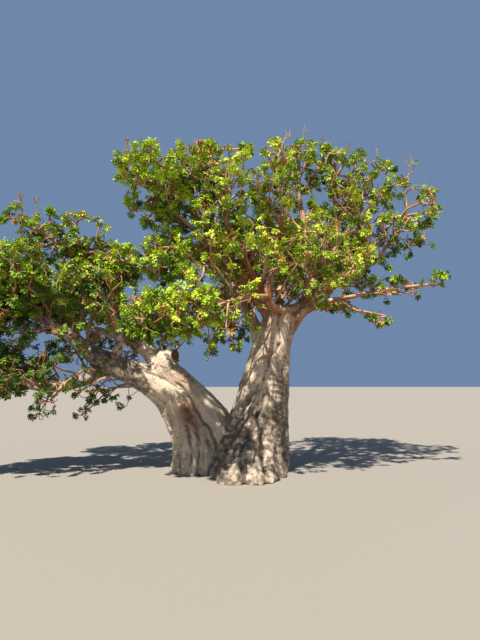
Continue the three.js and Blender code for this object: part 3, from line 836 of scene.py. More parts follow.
class Mass(Network):
    """One mass of foliage, grown by the source's rule and carried on to finer twigs."""

    spacing = (370.0, 212.0)
    spacing_play = (0.75, 1.2)
    edge = 0.93
    overlap = 0.12
    leaf_edge = 1.06
    stick_edge = 3.0
    shade_depth = 0.4
    shade_share = 0.75
    bare_shares = (0.35, 0.05)
    rosettes = 3.2
    pool = 3200
    pool_reach = (0.12, 1.0)
    pool_outward = 0.45
    twig_room = 70.0
    near = 2500.0
    inward_cost = 260.0
    tip_along = (-0.75, 0.95)
    tip_reach = (0.45, 0.85)
    foot_range = (0.12, 0.88)
    twig_drop = 0.08
    stem_steps = 8
    shoot_steps = 4
    stick_shares = (0.3, 0.6, 0.85, 1.0)
    stick_play = 0.025
    prongs = ((2, 0.34), (1, 0.22))
    prong_play = 0.55
    least_stick = 10.0
    foot_shares = (0.97, 0.75)

    def __init__(self, name: str, skeleton: Skeleton, seed: int) -> None:
        """Grows the mass's shoots and its finer net."""
        super().__init__(name, skeleton, seed)
        self.fullness = MASSES[name].fullness
        self.stem, self.space = skeleton.stems[name], skeleton.spaces[name]
        self.sticks: list[int] = []
        self.dice = Dice(seed)
        self.shoots = self._grow_shoots()
        self._grow_net()

    def fits(self, tip: np.ndarray) -> bool:
        """True where a rosette's tip has room and stays in the mass's own space."""
        return self.space.depth(tip) < self.leaf_edge and super().fits(tip)

    def is_inner(self, tip: np.ndarray) -> bool:
        """True for most tips near the middle of the mass."""
        return self.space.depth(tip) < self.shade_depth and self.chance.random() < self.shade_share

    def _faced(self, route: Route) -> Shoot:
        """A shoot on a route, with its spray turned by chance."""
        tilt = np.array([self.dice.roll() - 0.5, self.dice.roll() - 0.5, self.dice.roll() - 0.35])
        forward = route.heading(1)
        return Shoot(route, unit(tilt - forward * (tilt @ forward)))

    def _tip_place(self) -> np.ndarray:
        """A place for a twig's tip, well out in the space."""
        along = mix(*self.tip_along, self.dice.roll())
        turn = math.tau * self.dice.roll()
        reach = mix(*self.tip_reach, self.dice.roll())
        wide = math.sqrt(1 - along * along)
        local = np.array([along, wide * math.cos(turn), wide * math.sin(turn)]) * reach
        return self.space.centre + (local * self.space.sizes) @ self.space.axes

    def _twig_route(self, parent: Route, tip: np.ndarray) -> Route:
        """A twig's route from its parent to a tip, curving up."""
        level = (tip - self.space.centre) @ self.space.axes[0] / self.space.sizes[0]
        lowest, highest = self.foot_range
        foot = parent.at(min(highest, max(lowest, 0.42 + 0.45 * level)))
        return Route(foot, tip, (0, 0, -self.twig_drop * float(np.linalg.norm(tip - foot))))

    def _outline(self, shoot: Shoot, length: float) -> tuple[np.ndarray, np.ndarray]:
        """The middle and the outline of the spray at a shoot's tip."""
        forward = shoot.route.heading(1)
        side = np.cross(shoot.face, forward)
        middle = shoot.route.end + forward * SPRAY_BACK * length
        step = math.pi / SPRAY_LOBES
        turns = np.array([k * step - math.pi for k in range(1, 2 * SPRAY_LOBES)])
        lobes = np.where(np.arange(len(turns)) % 2 == 0, 1.0, SPRAY_NOTCH)
        reach = lobes * (1 - SPRAY_NARROWING * np.abs(turns) / math.pi) * length
        return middle, middle + ring(reach, turns, forward, side)

    def _fit(self, shoot: Shoot, taken: list[Shoot]) -> float:
        """The largest size at which a shoot's spray fits in, or 0."""
        for share in SPRAY_SIZES:
            size = share * SPRAY_LENGTH
            middle, outline = self._outline(shoot, size)
            if all(self._apart(shoot, middle, size, other) for other in taken):
                inside = self.skeleton.keeps(outline, self.name).all()
                if inside and self.skeleton.clear(middle[None], SPRAY_ROOM * size, self.name)[0]:
                    return size
        return 0.0

    @staticmethod
    def _apart(shoot: Shoot, middle: np.ndarray, size: float, other: Shoot) -> bool:
        """True where two sprays, and each one and the other's twig, stay apart."""
        if np.linalg.norm(other.route.end - middle) <= SPRAYS_APART * (other.size + size):
            return False
        shares = np.array([0.3, 0.55, 0.8])
        theirs = np.linalg.norm(other.route.at(shares) - middle, axis=1).min()
        mine = np.linalg.norm(shoot.route.at(shares) - other.route.end, axis=1).min()
        return bool(theirs > TWIG_APART * size and mine > TWIG_APART * other.size)

    def _room(self, point: np.ndarray, taken: list[Shoot]) -> float:
        """How much room a place has, from the sprays already there and from other spaces."""
        own = float(self.space.depth(point))
        rooms = [2.0] + [float(np.linalg.norm(other.route.end - point)) / SPRAY_LENGTH for other in taken]
        for name, space in self.skeleton.spaces.items():
            if name != self.name and np.linalg.norm(space.centre - point) < self.near:
                rooms.append((float(space.depth(point)) - own) * self.space.sizes.min() / SPRAY_LENGTH)
        return min(rooms)

    def _grow_shoots(self) -> list[Shoot]:
        """The stem and the twigs that the solids have too.

        Returns:
            The stem as a shoot, and then each twig in the order that it grew.
        """
        first = self._faced(self.stem.route)
        first.size = self._fit(first, []) or 0.5 * SPRAY_LENGTH
        taken = [first]
        for i in range(TWIGS_PER_MASS):
            parent = taken[-1].route if i % 3 == 2 else self.stem.route
            best, best_worth = None, -1.0
            for _ in range(TIP_TRIES):
                shoot = self._faced(self._twig_route(parent, self._tip_place()))
                near = shoot.route.at(np.array([0.4, 0.6, 0.8, 1.0]))
                if not self.skeleton.clear(near, LEAF_CLEARANCE, self.name).all():
                    continue
                shoot.size = self._fit(shoot, taken)
                worth = shoot.size / SPRAY_LENGTH + 0.6 * self._room(shoot.route.end, taken)
                if shoot.size > 0 and worth > best_worth:
                    best, best_worth = shoot, worth
            if best is not None:
                taken.append(best)
        return taken

    def _nearest(self, point: np.ndarray) -> int:
        """The point of the net that a new twig for this tip leaves from."""
        there = np.array(self.points)
        gaps = np.linalg.norm(there - point, axis=1)
        beyond = np.maximum(0, self.space.depth(there) - float(self.space.depth(point)))
        return int(np.argmin(gaps + self.inward_cost * beyond))

    def _spray_places(self) -> np.ndarray:
        """Places for the finer sprays, spread through the space and closer where it is full."""
        ways = unit(self.chance.normal(size=(self.pool, 3)))
        reach = self.chance.uniform(*self.pool_reach, self.pool) ** self.pool_outward * self.edge
        places = self.space.centre + (ways * reach[:, None] * self.space.sizes) @ self.space.axes
        good = self.skeleton.keeps(places, self.name, self.edge, -self.overlap) & self.in_reach(places)
        good &= self.skeleton.clear(places, self.twig_room, self.name)
        spacing = mix(*self.spacing, self.fullness)
        kept: list[np.ndarray] = [shoot.route.end for shoot in self.shoots]
        fixed = len(kept)
        for place in places[good]:
            if self.in_opening(place):
                continue
            gap = np.linalg.norm(np.array(kept) - place, axis=1).min()
            if gap > spacing * self.chance.uniform(*self.spacing_play):
                kept.append(place)
        return np.array(kept[fixed:]).reshape(-1, 3)

    def _grow_net(self) -> None:
        """Joins the shoots and the finer twigs into one branching net, with its sprays."""
        count = 1 + round(self.rosettes * self.fullness)
        bare_share = mix(*self.bare_shares, self.fullness)
        line = self.stem.route.at(np.arange(self.stem_steps + 1) / self.stem_steps)
        ends = [self.add_line(line, -1)]
        shares = np.arange(1, self.shoot_steps + 1) / self.shoot_steps
        for shoot in self.shoots[1:]:
            foot = int(np.argmin(np.linalg.norm(np.array(self.points) - shoot.route.start, axis=1)))
            ends.append(self.add_line(shoot.route.at(shares), foot))
        places = self._spray_places()
        gaps = np.linalg.norm(places[:, None] - line[None], axis=2).min(axis=1)
        order = np.argsort(gaps, kind="stable")
        ends += [self.add_twig(self._nearest(place), place) for place in places[order]]
        for end in ends:
            self.add_spray(end, max(1, count + int(self.chance.integers(-1, 2))), bare_share)
        self.leaf_edge = self.stick_edge
        for tips, leafy in ((BARE_TWIGS, 0), (LEAFY_TWIGS, 2)):
            for tip in tips.get(self.name, ()):
                self._add_stick(np.array(tip, float), leafy)

    def _add_stick(self, tip: np.ndarray, leafy: int) -> None:
        """Adds a straight stick with two prongs, from the nearest twig below its tip.

        Args:
            tip: Where it ends.
            leafy: How many rosettes it bears at its tip and on each prong. A bare stick has none.
        """
        there = np.array(self.points)
        gaps = np.linalg.norm((there - tip) * (1, 1, 0.6), axis=1) + 2 * np.maximum(0, there[:, 2] - tip[2])
        foot = int(np.argmin(gaps))
        start = self.points[foot]
        reach = float(np.linalg.norm(tip - start))
        line = start + np.outer(self.stick_shares, tip - start)
        line += self.chance.normal(0, self.stick_play * reach, (4, 3))
        line[-1] = tip
        end = self.add_line(line, foot)
        self.sticks += [end - 3, end - 2, end - 1, end]
        for back, out in self.prongs:
            side = unit((tip - start) / reach + self.chance.normal(0, self.prong_play, 3) * (1, 0.5, 1))
            prong = self.points[end - back] + side * out * reach
            if self.in_reach(prong):
                self.sticks.append(self.add_line(prong[None], end - back))
                self.add_spray(self.sticks[-1], leafy, 0.0)
        self.add_spray(end, 2 * leafy, 0.0)
        self.bare.append(end)

    def radii(self) -> np.ndarray:
        """The radii of the net, with the stem as stout as the bough that it grows on from."""
        plan = MASSES[self.name]
        foot = BOUGHS[plan.on].girth[1] * self.foot_shares[is_one_of_two(plan)]
        size = np.minimum(super().radii(), foot)
        shares = np.arange(self.stem_steps + 1) / self.stem_steps
        stem = foot * (1 - shares) ** 1.1 + self.least_stick
        size[: len(stem)] = np.maximum(size[: len(stem)], stem)
        size[self.sticks] = np.maximum(size[self.sticks], self.least_stick)
        return size


class SideShoots(Network):
    """The side shoots of one bough: small branches that carry the foliage between the masses."""

    along = (0.22, 0.98)
    reach = (330.0, 1050.0)
    foot_lift = 0.35
    room = 60.0
    bare_share = 0.22
    side_length = (0.3, 0.6)
    side_turn = 2.4

    def __init__(self, name: str, skeleton: Skeleton, seed: int, count: int) -> None:
        """Grows the shoots along the bough, each clear of every limb."""
        super().__init__(name, skeleton, seed)
        route = skeleton.routes[name]
        for k in range(count):
            share = mix(*self.along, (k + float(self.chance.random())) / count)
            heading = route.heading(share)
            out = turned(self.chance.uniform(0, math.tau), *square_to(heading))
            way = unit(out + heading * self.spray_forward + UP * self.foot_lift)
            size = skeleton.bough_radius(name, share)
            start = route.at(share) + out * size * 0.6
            reach = self.chance.uniform(*self.reach) * mix(1.1, 0.6, share)
            tip = start + way * (size + reach)
            path = start + np.outer((0.55, 0.8, 1.0), tip - start)
            free = self.in_reach(tip) and not self.in_opening(tip)
            if free and skeleton.clear(path, self.room, "").all():
                foot = self.add_line(start[None], -1)
                self._branch(self.add_twig(foot, tip), way, reach)

    def _branch(self, end: int, way: np.ndarray, reach: float) -> None:
        """Adds side twigs by turns along a shoot, and the sprays at their tips."""
        side, over = square_to(way)
        turn = self.chance.uniform(0, math.tau)
        for k, node in enumerate((end - 2, end - 1, end - 1, end)):
            out = turned(turn + k * self.side_turn, side, over)
            length = reach * self.chance.uniform(*self.side_length)
            tip = self.points[node] + unit(way + out * 0.9 + UP * 0.2) * length
            if self.fits(tip):
                number = self.add_twig(node, tip)
                self.add_spray(number, int(self.chance.integers(1, 4)), self.bare_share)
        self.add_spray(end, int(self.chance.integers(1, 4)), self.bare_share)


class Tint(Enum):
    """The greens that are dealt out to the rosettes, from the sunniest to the most shaded, as painted light
    and shade.
    """

    SUNLIT = "sunlit"
    FRESH = "fresh"
    MIDDLE = "middle"
    DEEP = "deep"
    TURNING = "turning"


@dataclass(frozen=True)
class LeafFinish:
    """The look of one green: its plain colour, a second one that it drifts to, and its gloss."""

    colour: Colour
    drift: Colour
    roughness: float


# The sunlit, lit, middle and shaded greens are one green made brighter or darker as painted light and
# shade; the turning one is a real colour
LEAF_FINISHES: dict[Tint, LeafFinish] = {
    Tint.SUNLIT: LeafFinish(linear(208, 220, 66), linear(186, 206, 50), 0.5),
    Tint.FRESH: LeafFinish(linear(170, 192, 46), linear(146, 176, 36), 0.52),
    Tint.MIDDLE: LeafFinish(linear(128, 158, 38), linear(108, 142, 30), 0.55),
    Tint.DEEP: LeafFinish(linear(86, 114, 30), linear(66, 94, 22), 0.6),
    Tint.TURNING: LeafFinish(linear(196, 168, 72), linear(164, 126, 58), 0.6),
}


@dataclass(frozen=True)
class BarkFinish:
    """The look of one kind of bark: its pale, middle, dark and brown colours, the brown also for painted
    underside shade, and its relief.
    """

    pale: Colour
    middle: Colour
    dark: Colour
    stain_and_shade: Colour
    patch_scale: float
    grain_scale: float
    relief: float
    roughness: float = 0.84


TRUNK_BARK = BarkFinish(
    linear(232, 212, 184), linear(150, 128, 108), linear(74, 60, 49), linear(150, 92, 52), 2.4, 13, 0.012
)
TWIG_BARK = BarkFinish(
    linear(190, 152, 114), linear(146, 102, 66), linear(82, 54, 34), linear(136, 78, 40), 4, 22, 0.004
)


class Nodes:
    """A short way to build a node tree: makes nodes, sets their inputs and links them."""

    def __init__(self, tree: NodeTree) -> None:
        """Works on a tree."""
        self.tree = tree

    def make(self, kind: str, inputs: dict | None = None, **settings: object) -> Node:
        """Makes a node.

        Args:
            kind: The node's type name.
            inputs: Values or sockets for its inputs, by name or number.
            settings: The node's own properties.

        Returns:
            The node.
        """
        node = self.tree.nodes.new(kind)
        for key, value in settings.items():
            setattr(node, key, value)
        return self.feed(node, inputs or {})

    def feed(self, node: Node, inputs: dict) -> Node:
        """Sets a node's inputs, by name or number, to values or sockets, and returns the node."""
        for key, value in inputs.items():
            if isinstance(value, NodeSocket):
                self.tree.links.new(value, node.inputs[key])
            else:
                node.inputs[key].default_value = value
        return node

    def math(self, operation: str, *values: object) -> NodeSocket:
        """The result of a sum on numbers."""
        return self.make("ShaderNodeMath", dict(enumerate(values)), operation=operation).outputs[0]

    def times(self, first: object, second: object) -> NodeSocket:
        """One number times another."""
        return self.math("MULTIPLY", first, second)

    def total(self, first: object, *others: object) -> NodeSocket:
        """Numbers added up."""
        for other in others:
            first = self.math("ADD", first, other)
        return first

    def scaled(self, vector: NodeSocket, by: object) -> NodeSocket:
        """A vector made longer or shorter."""
        inputs = {"Vector": vector, "Scale": by}
        return self.make("ShaderNodeVectorMath", inputs, operation="SCALE").outputs[0]

    def noise(self, place: object, scale: object, detail: float = 4.0) -> NodeSocket:
        """A noise from 0 to 1 over a place."""
        inputs = {"Vector": place, "Scale": scale, "Detail": detail}
        return self.make("ShaderNodeTexNoise", inputs).outputs[0]

    def grain(
        self, across: object, along: object, wide: object, long: object, detail: float = 4.0
    ) -> NodeSocket:
        """A noise that is stretched or pressed along a limb.

        Args:
            across: The socket of the place across the limb.
            along: The socket of the distance along it.
            wide: How fine the noise is across the limb.
            long: How fine it is along it.
            detail: How many finer layers it has.

        Returns:
            A number from 0 to 1.
        """
        values = {"Vector": self.scaled(across, wide), "W": self.times(along, long)}
        values |= {"Scale": 1.0, "Detail": detail, "Distortion": 0.25}
        return self.make("ShaderNodeTexNoise", values, noise_dimensions="4D").outputs[0]

    def ramp(self, value: object, low: float, high: float) -> NodeSocket:
        """A value stretched so that low becomes 0 and high becomes 1."""
        inputs = {"Value": value, "From Min": low, "From Max": high}
        return self.make("ShaderNodeMapRange", inputs, clamp=True).outputs[0]

    def blend(self, share: object, first: object, second: object) -> NodeSocket:
        """Two colours mixed."""
        return self.make("ShaderNodeMix", {0: share, 6: first, 7: second}, data_type="RGBA").outputs[2]

    def carried(self, name: str, kind: str = "FLOAT") -> NodeSocket:
        """What each point of the geometry carries under a name."""
        return self.make("GeometryNodeInputNamedAttribute", {"Name": name}, data_type=kind).outputs[0]

    def finish(self, geometry: NodeSocket, material: NodeSocket) -> NodeTree:
        """Ends a geometry tree: makes its copies real, gives them their material and returns the tree."""
        real = self.make("GeometryNodeRealizeInstances", {0: geometry}).outputs[0]
        dressed = self.make("GeometryNodeSetMaterial", {"Geometry": real, "Material": material}).outputs[0]
        self.make("NodeGroupOutput", {0: dressed})
        return self.tree


NUMBER, VECTOR, COLOUR = "NodeSocketFloat", "NodeSocketVector", "NodeSocketColor"
GEOMETRY, MATERIAL = "NodeSocketGeometry", "NodeSocketMaterial"


def new_group(name: str, inputs: list[tuple], outputs: dict[str, str]) -> tuple[Nodes, object]:
    """A node group with named sockets, for geometry where its first input is a geometry.

    Args:
        name: The group's name.
        inputs: A name, a socket type and, where it has one, a default value for each input.
        outputs: The socket type of each output, by name.

    Returns:
        The empty group to build in, and the sockets of its inputs.
    """
    kind = "GeometryNodeTree" if inputs[0][1] == GEOMETRY else "ShaderNodeTree"
    tree = bpy.data.node_groups.new(name, kind)
    for title, socket, *default in inputs:
        made = tree.interface.new_socket(name=title, in_out="INPUT", socket_type=socket)
        if default:
            made.default_value = default[0]
    for title, socket in outputs.items():
        tree.interface.new_socket(name=title, in_out="OUTPUT", socket_type=socket)
    nodes = Nodes(tree)
    return nodes, nodes.make("NodeGroupInput").outputs


class Palette:
    """The shader groups and the materials of the tree."""

    def __init__(self) -> None:
        """Builds the groups that the materials share."""
        self.bark_group = self._bark_group()
        self.drift_group = self._drift_group()

    @staticmethod
    def _bark_group() -> NodeTree:
        """Bark: pale and dark patches, streaks down the limb, wrinkles across it, painted shade in creases
        and painted light on ridges, brown stains with painted shade on undersides, and painted shade where
        the bark is marked for it.

        Returns:
            A group that gives a colour, a height and a roughness.
        """
        numbers = ("Along", "Hollow", "Stained", "Weathered")
        n, inp = new_group(
            "bark_surface",
            [("Place", VECTOR), ("Across", VECTOR)]
            + [(title, NUMBER) for title in numbers]
            + [(title, COLOUR) for title in ("Pale", "Middle", "Dark", "Stain")]
            + [("Patch Scale", NUMBER, 2.0), ("Grain Scale", NUMBER, 8.0), ("Roughness", NUMBER, 0.8)],
            {"Colour": COLOUR, "Height": NUMBER, "Roughness": NUMBER},
        )
        place, across, along, hollow = inp["Place"], inp["Across"], inp["Along"], inp["Hollow"]
        patch, grain = inp["Patch Scale"], inp["Grain Scale"]
        patches = n.grain(across, along, patch, n.times(patch, 0.6), 5.0)
        mottle = n.noise(place, n.times(patch, 4.5), 6.0)
        streaks = n.grain(across, along, grain, n.times(grain, 0.16))
        wrinkles = n.grain(across, along, n.times(grain, 0.4), n.times(grain, 1.6), 3.0)
        fine = n.noise(place, n.times(grain, 6.0), 4.0)
        flakes = n.noise(place, n.times(grain, 1.7), 5.0)
        stains = n.grain(across, along, n.times(patch, 1.5), patch, 4.0)
        # Brown in patches: stains, and painted shade on undersides
        stained = n.times(inp["Stained"], n.ramp(stains, 0.25, 0.48))
        # Painted shade in patches, where the bark is marked for it
        painted_shade_mask = n.times(inp["Weathered"], n.ramp(mottle, 0.74, 0.44))
        base = n.blend(n.ramp(patches, 0.36, 0.56), inp["Middle"], inp["Pale"])
        for mask, strength, colour in (
            (n.ramp(mottle, 0.5, 0.7), 0.4, "Dark"),
            (n.ramp(streaks, 0.54, 0.68), 0.32, "Dark"),
            (n.ramp(wrinkles, 0.56, 0.68), 0.22, "Dark"),
            (n.ramp(flakes, 0.52, 0.6), 0.5, "Pale"),
            # Painted light on ridges
            (n.ramp(hollow, 0.48, 0.2), 0.55, "Pale"),
            # Stains, and painted shade on undersides
            (stained, 1.0, "Stain"),
            # Painted shade where the bark is marked for it
            (painted_shade_mask, 0.9, "Dark"),
            # Painted shade in creases
            (n.ramp(hollow, 0.58, 1.0), 0.7, "Dark"),
        ):
            base = n.blend(mask if strength == 1 else n.times(mask, strength), base, inp[colour])
        height = n.total(
            n.times(streaks, 0.5),
            n.times(wrinkles, 0.6),
            n.times(mottle, 0.6),
            n.times(n.ramp(flakes, 0.5, 0.62), 0.2),
            n.times(fine, 0.25),
        )
        rough = n.total(inp["Roughness"], n.times(n.math("SUBTRACT", mottle, 0.5), 0.2))
        n.make("NodeGroupOutput", {"Colour": base, "Height": height, "Roughness": rough})
        return n.tree

    @staticmethod
    def _drift_group() -> NodeTree:
        """A slow drift from one colour to another over the crown."""
        inputs = [("Place", VECTOR), ("First", COLOUR), ("Second", COLOUR), ("Scale", NUMBER, 2.0)]
        n, inp = new_group("colour_drift", inputs, {"Colour": COLOUR})
        share = n.ramp(n.noise(inp["Place"], inp["Scale"], 3.0), 0.35, 0.65)
        n.make("NodeGroupOutput", {"Colour": n.blend(share, inp["First"], inp["Second"])})
        return n.tree

    @staticmethod
    def _blank(name: str) -> tuple[Material, Nodes, Node, NodeSocket]:
        """A material with its shader, output and Object coordinates, and nothing else."""
        material = bpy.data.materials.new(name)
        material.use_nodes = True
        material.node_tree.nodes.clear()
        n = Nodes(material.node_tree)
        shader = n.make("ShaderNodeBsdfPrincipled")
        n.make("ShaderNodeOutputMaterial", {"Surface": shader.outputs[0]})
        return material, n, shader, n.make("ShaderNodeTexCoord").outputs["Object"]

    def bark(self, name: str, look: BarkFinish) -> Material:
        """A bark material, which follows the limb by the piece's own attributes.

        Args:
            name: The material's name.
            look: Its colours and sizes.

        Returns:
            The material.
        """
        material, n, shader, place = self._blank(name)
        values = {
            "Place": place,
            "Across": n.make("ShaderNodeAttribute", attribute_name="across").outputs["Vector"],
            "Pale": look.pale,
            "Middle": look.middle,
            "Dark": look.dark,
            "Stain": look.stain_and_shade,
            "Patch Scale": look.patch_scale,
            "Grain Scale": look.grain_scale,
            "Roughness": look.roughness,
        }
        for title in ("Along", "Hollow", "Stained", "Weathered"):
            values[title] = n.make("ShaderNodeAttribute", attribute_name=title.lower()).outputs["Fac"]
        skin = n.make("ShaderNodeGroup", values, node_tree=self.bark_group).outputs
        relief = {"Height": skin["Height"], "Distance": look.relief, "Strength": 1.0}
        normal = n.make("ShaderNodeBump", relief).outputs[0]
        n.feed(shader, {"Base Color": skin["Colour"], "Roughness": skin["Roughness"], "Normal": normal})
        return material

    def leaf(self, tint: Tint) -> Material:
        """The material of one green."""
        look = LEAF_FINISHES[tint]
        material, n, shader, place = self._blank(f"leaf_{tint.value}")
        values = {"Place": place, "First": look.colour, "Second": look.drift, "Scale": 3.0}
        green = n.make("ShaderNodeGroup", values, node_tree=self.drift_group).outputs["Colour"]
        n.feed(shader, {"Base Color": green, "Roughness": look.roughness, "Specular IOR Level": 0.3})
        return material

    def cut_wood(self) -> Material:
        """The brown, ringed wood of a sawn end."""
        material, n, shader, place = self._blank("cut_wood")
        grain = {"Vector": place, "Scale": 9.0, "Distortion": 3.0}
        rings = n.make("ShaderNodeTexWave", grain, wave_type="RINGS").outputs[1]
        colour = n.blend(rings, linear(126, 84, 58), linear(70, 46, 34))
        n.feed(shader, {"Base Color": colour, "Roughness": 0.85})
        return material


def placed(mesh: Mesh) -> Object:
    """An object at the origin that holds a mesh, linked to the scene."""
    made = bpy.data.objects.new(mesh.name, mesh)
    bpy.context.scene.collection.objects.link(made)
    return made


def new_mesh(name: str, points: np.ndarray, edges: object = (), faces: object = ()) -> Mesh:
    """A mesh from points in metres and lists of point numbers."""
    mesh = bpy.data.meshes.new(name)
    mesh.from_pydata(np.asarray(points).tolist(), list(edges), list(faces))
    mesh.update()
    return mesh


def mesh_points(mesh: Mesh, layer: str = "co") -> np.ndarray:
    """The places, or the normals, of a mesh's points, as rows."""
    values = np.empty(len(mesh.vertices) * 3, np.float32)
    if layer == "co":
        mesh.vertices.foreach_get("co", values)
    else:
        mesh.vertex_normals.foreach_get("vector", values)
    return values.reshape(-1, 3)


def store(mesh: Mesh, name: str, values: np.ndarray) -> None:
    """Stores a number or a vector for each point of a mesh."""
    kind, key = ("FLOAT_VECTOR", "vector") if values.ndim == 2 else ("FLOAT", "value")
    layer = mesh.attributes.get(name) or mesh.attributes.new(name, kind, "POINT")
    layer.data.foreach_set(key, values.astype(np.float32).ravel())


def baked(source: Object, name: str) -> Object:
    """A plain mesh object of what another one's modifiers make, which it replaces.

    Args:
        source: The object with modifiers. It is removed.
        name: The new object's name.

    Returns:
        The new object.
    """
    graph = bpy.context.evaluated_depsgraph_get()
    graph.update()
    mesh = bpy.data.meshes.new_from_object(source.evaluated_get(graph), depsgraph=graph)
    bpy.data.objects.remove(source, do_unlink=True)
    mesh.name = name
    return placed(mesh)


def grown(
    source: Object, tree: NodeTree, values: dict[str, object], name: str
) -> Object:
    """What a geometry node tree makes of an object, as a plain mesh.

    Args:
        source: The object that the tree works on. It is removed.
        tree: The tree.
        values: Its inputs by name.
        name: The new object's name.

    Returns:
        The new object.
    """
    modifier = source.modifiers.new("growth", "NODES")
    modifier.node_group = tree
    for item in tree.interface.items_tree:
        if item.in_out == "INPUT" and item.name in values:
            modifier[item.identifier] = values[item.name]
    return baked(source, name)


def shade(
    made: Object, material: Material, smooth: bool = True
) -> Object:
    """Gives a piece its material and slot, sets it to ride with the tree and reports it."""
    made.data.materials.clear()
    made.data.materials.append(material)
    made.data.polygons.foreach_set("use_smooth", np.full(len(made.data.polygons), smooth))
    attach(made, "root")
    triangles = sum(len(face.vertices) - 2 for face in made.data.polygons)
    LOG.info("%s: %d triangles", made.name, triangles)
    return made


def point_outwards(made: Object, cut: bool = False) -> None:
    """Turns every closed shell of a piece so that its faces look out.

    Args:
        made: The piece.
        cut: Whether it is cut flat at the ground first, and the cut closed.
    """
    bm = bmesh.new()
    bm.from_mesh(made.data)
    if cut:
        everything = bm.verts[:] + bm.edges[:] + bm.faces[:]
        bmesh.ops.bisect_plane(bm, geom=everything, plane_co=(0, 0, 0), plane_no=UP, clear_inner=True)
        bmesh.ops.holes_fill(bm, edges=[edge for edge in bm.edges if edge.is_boundary], sides=0)
    bmesh.ops.recalc_face_normals(bm, faces=bm.faces[:])
    bm.to_mesh(made.data)
    bm.free()


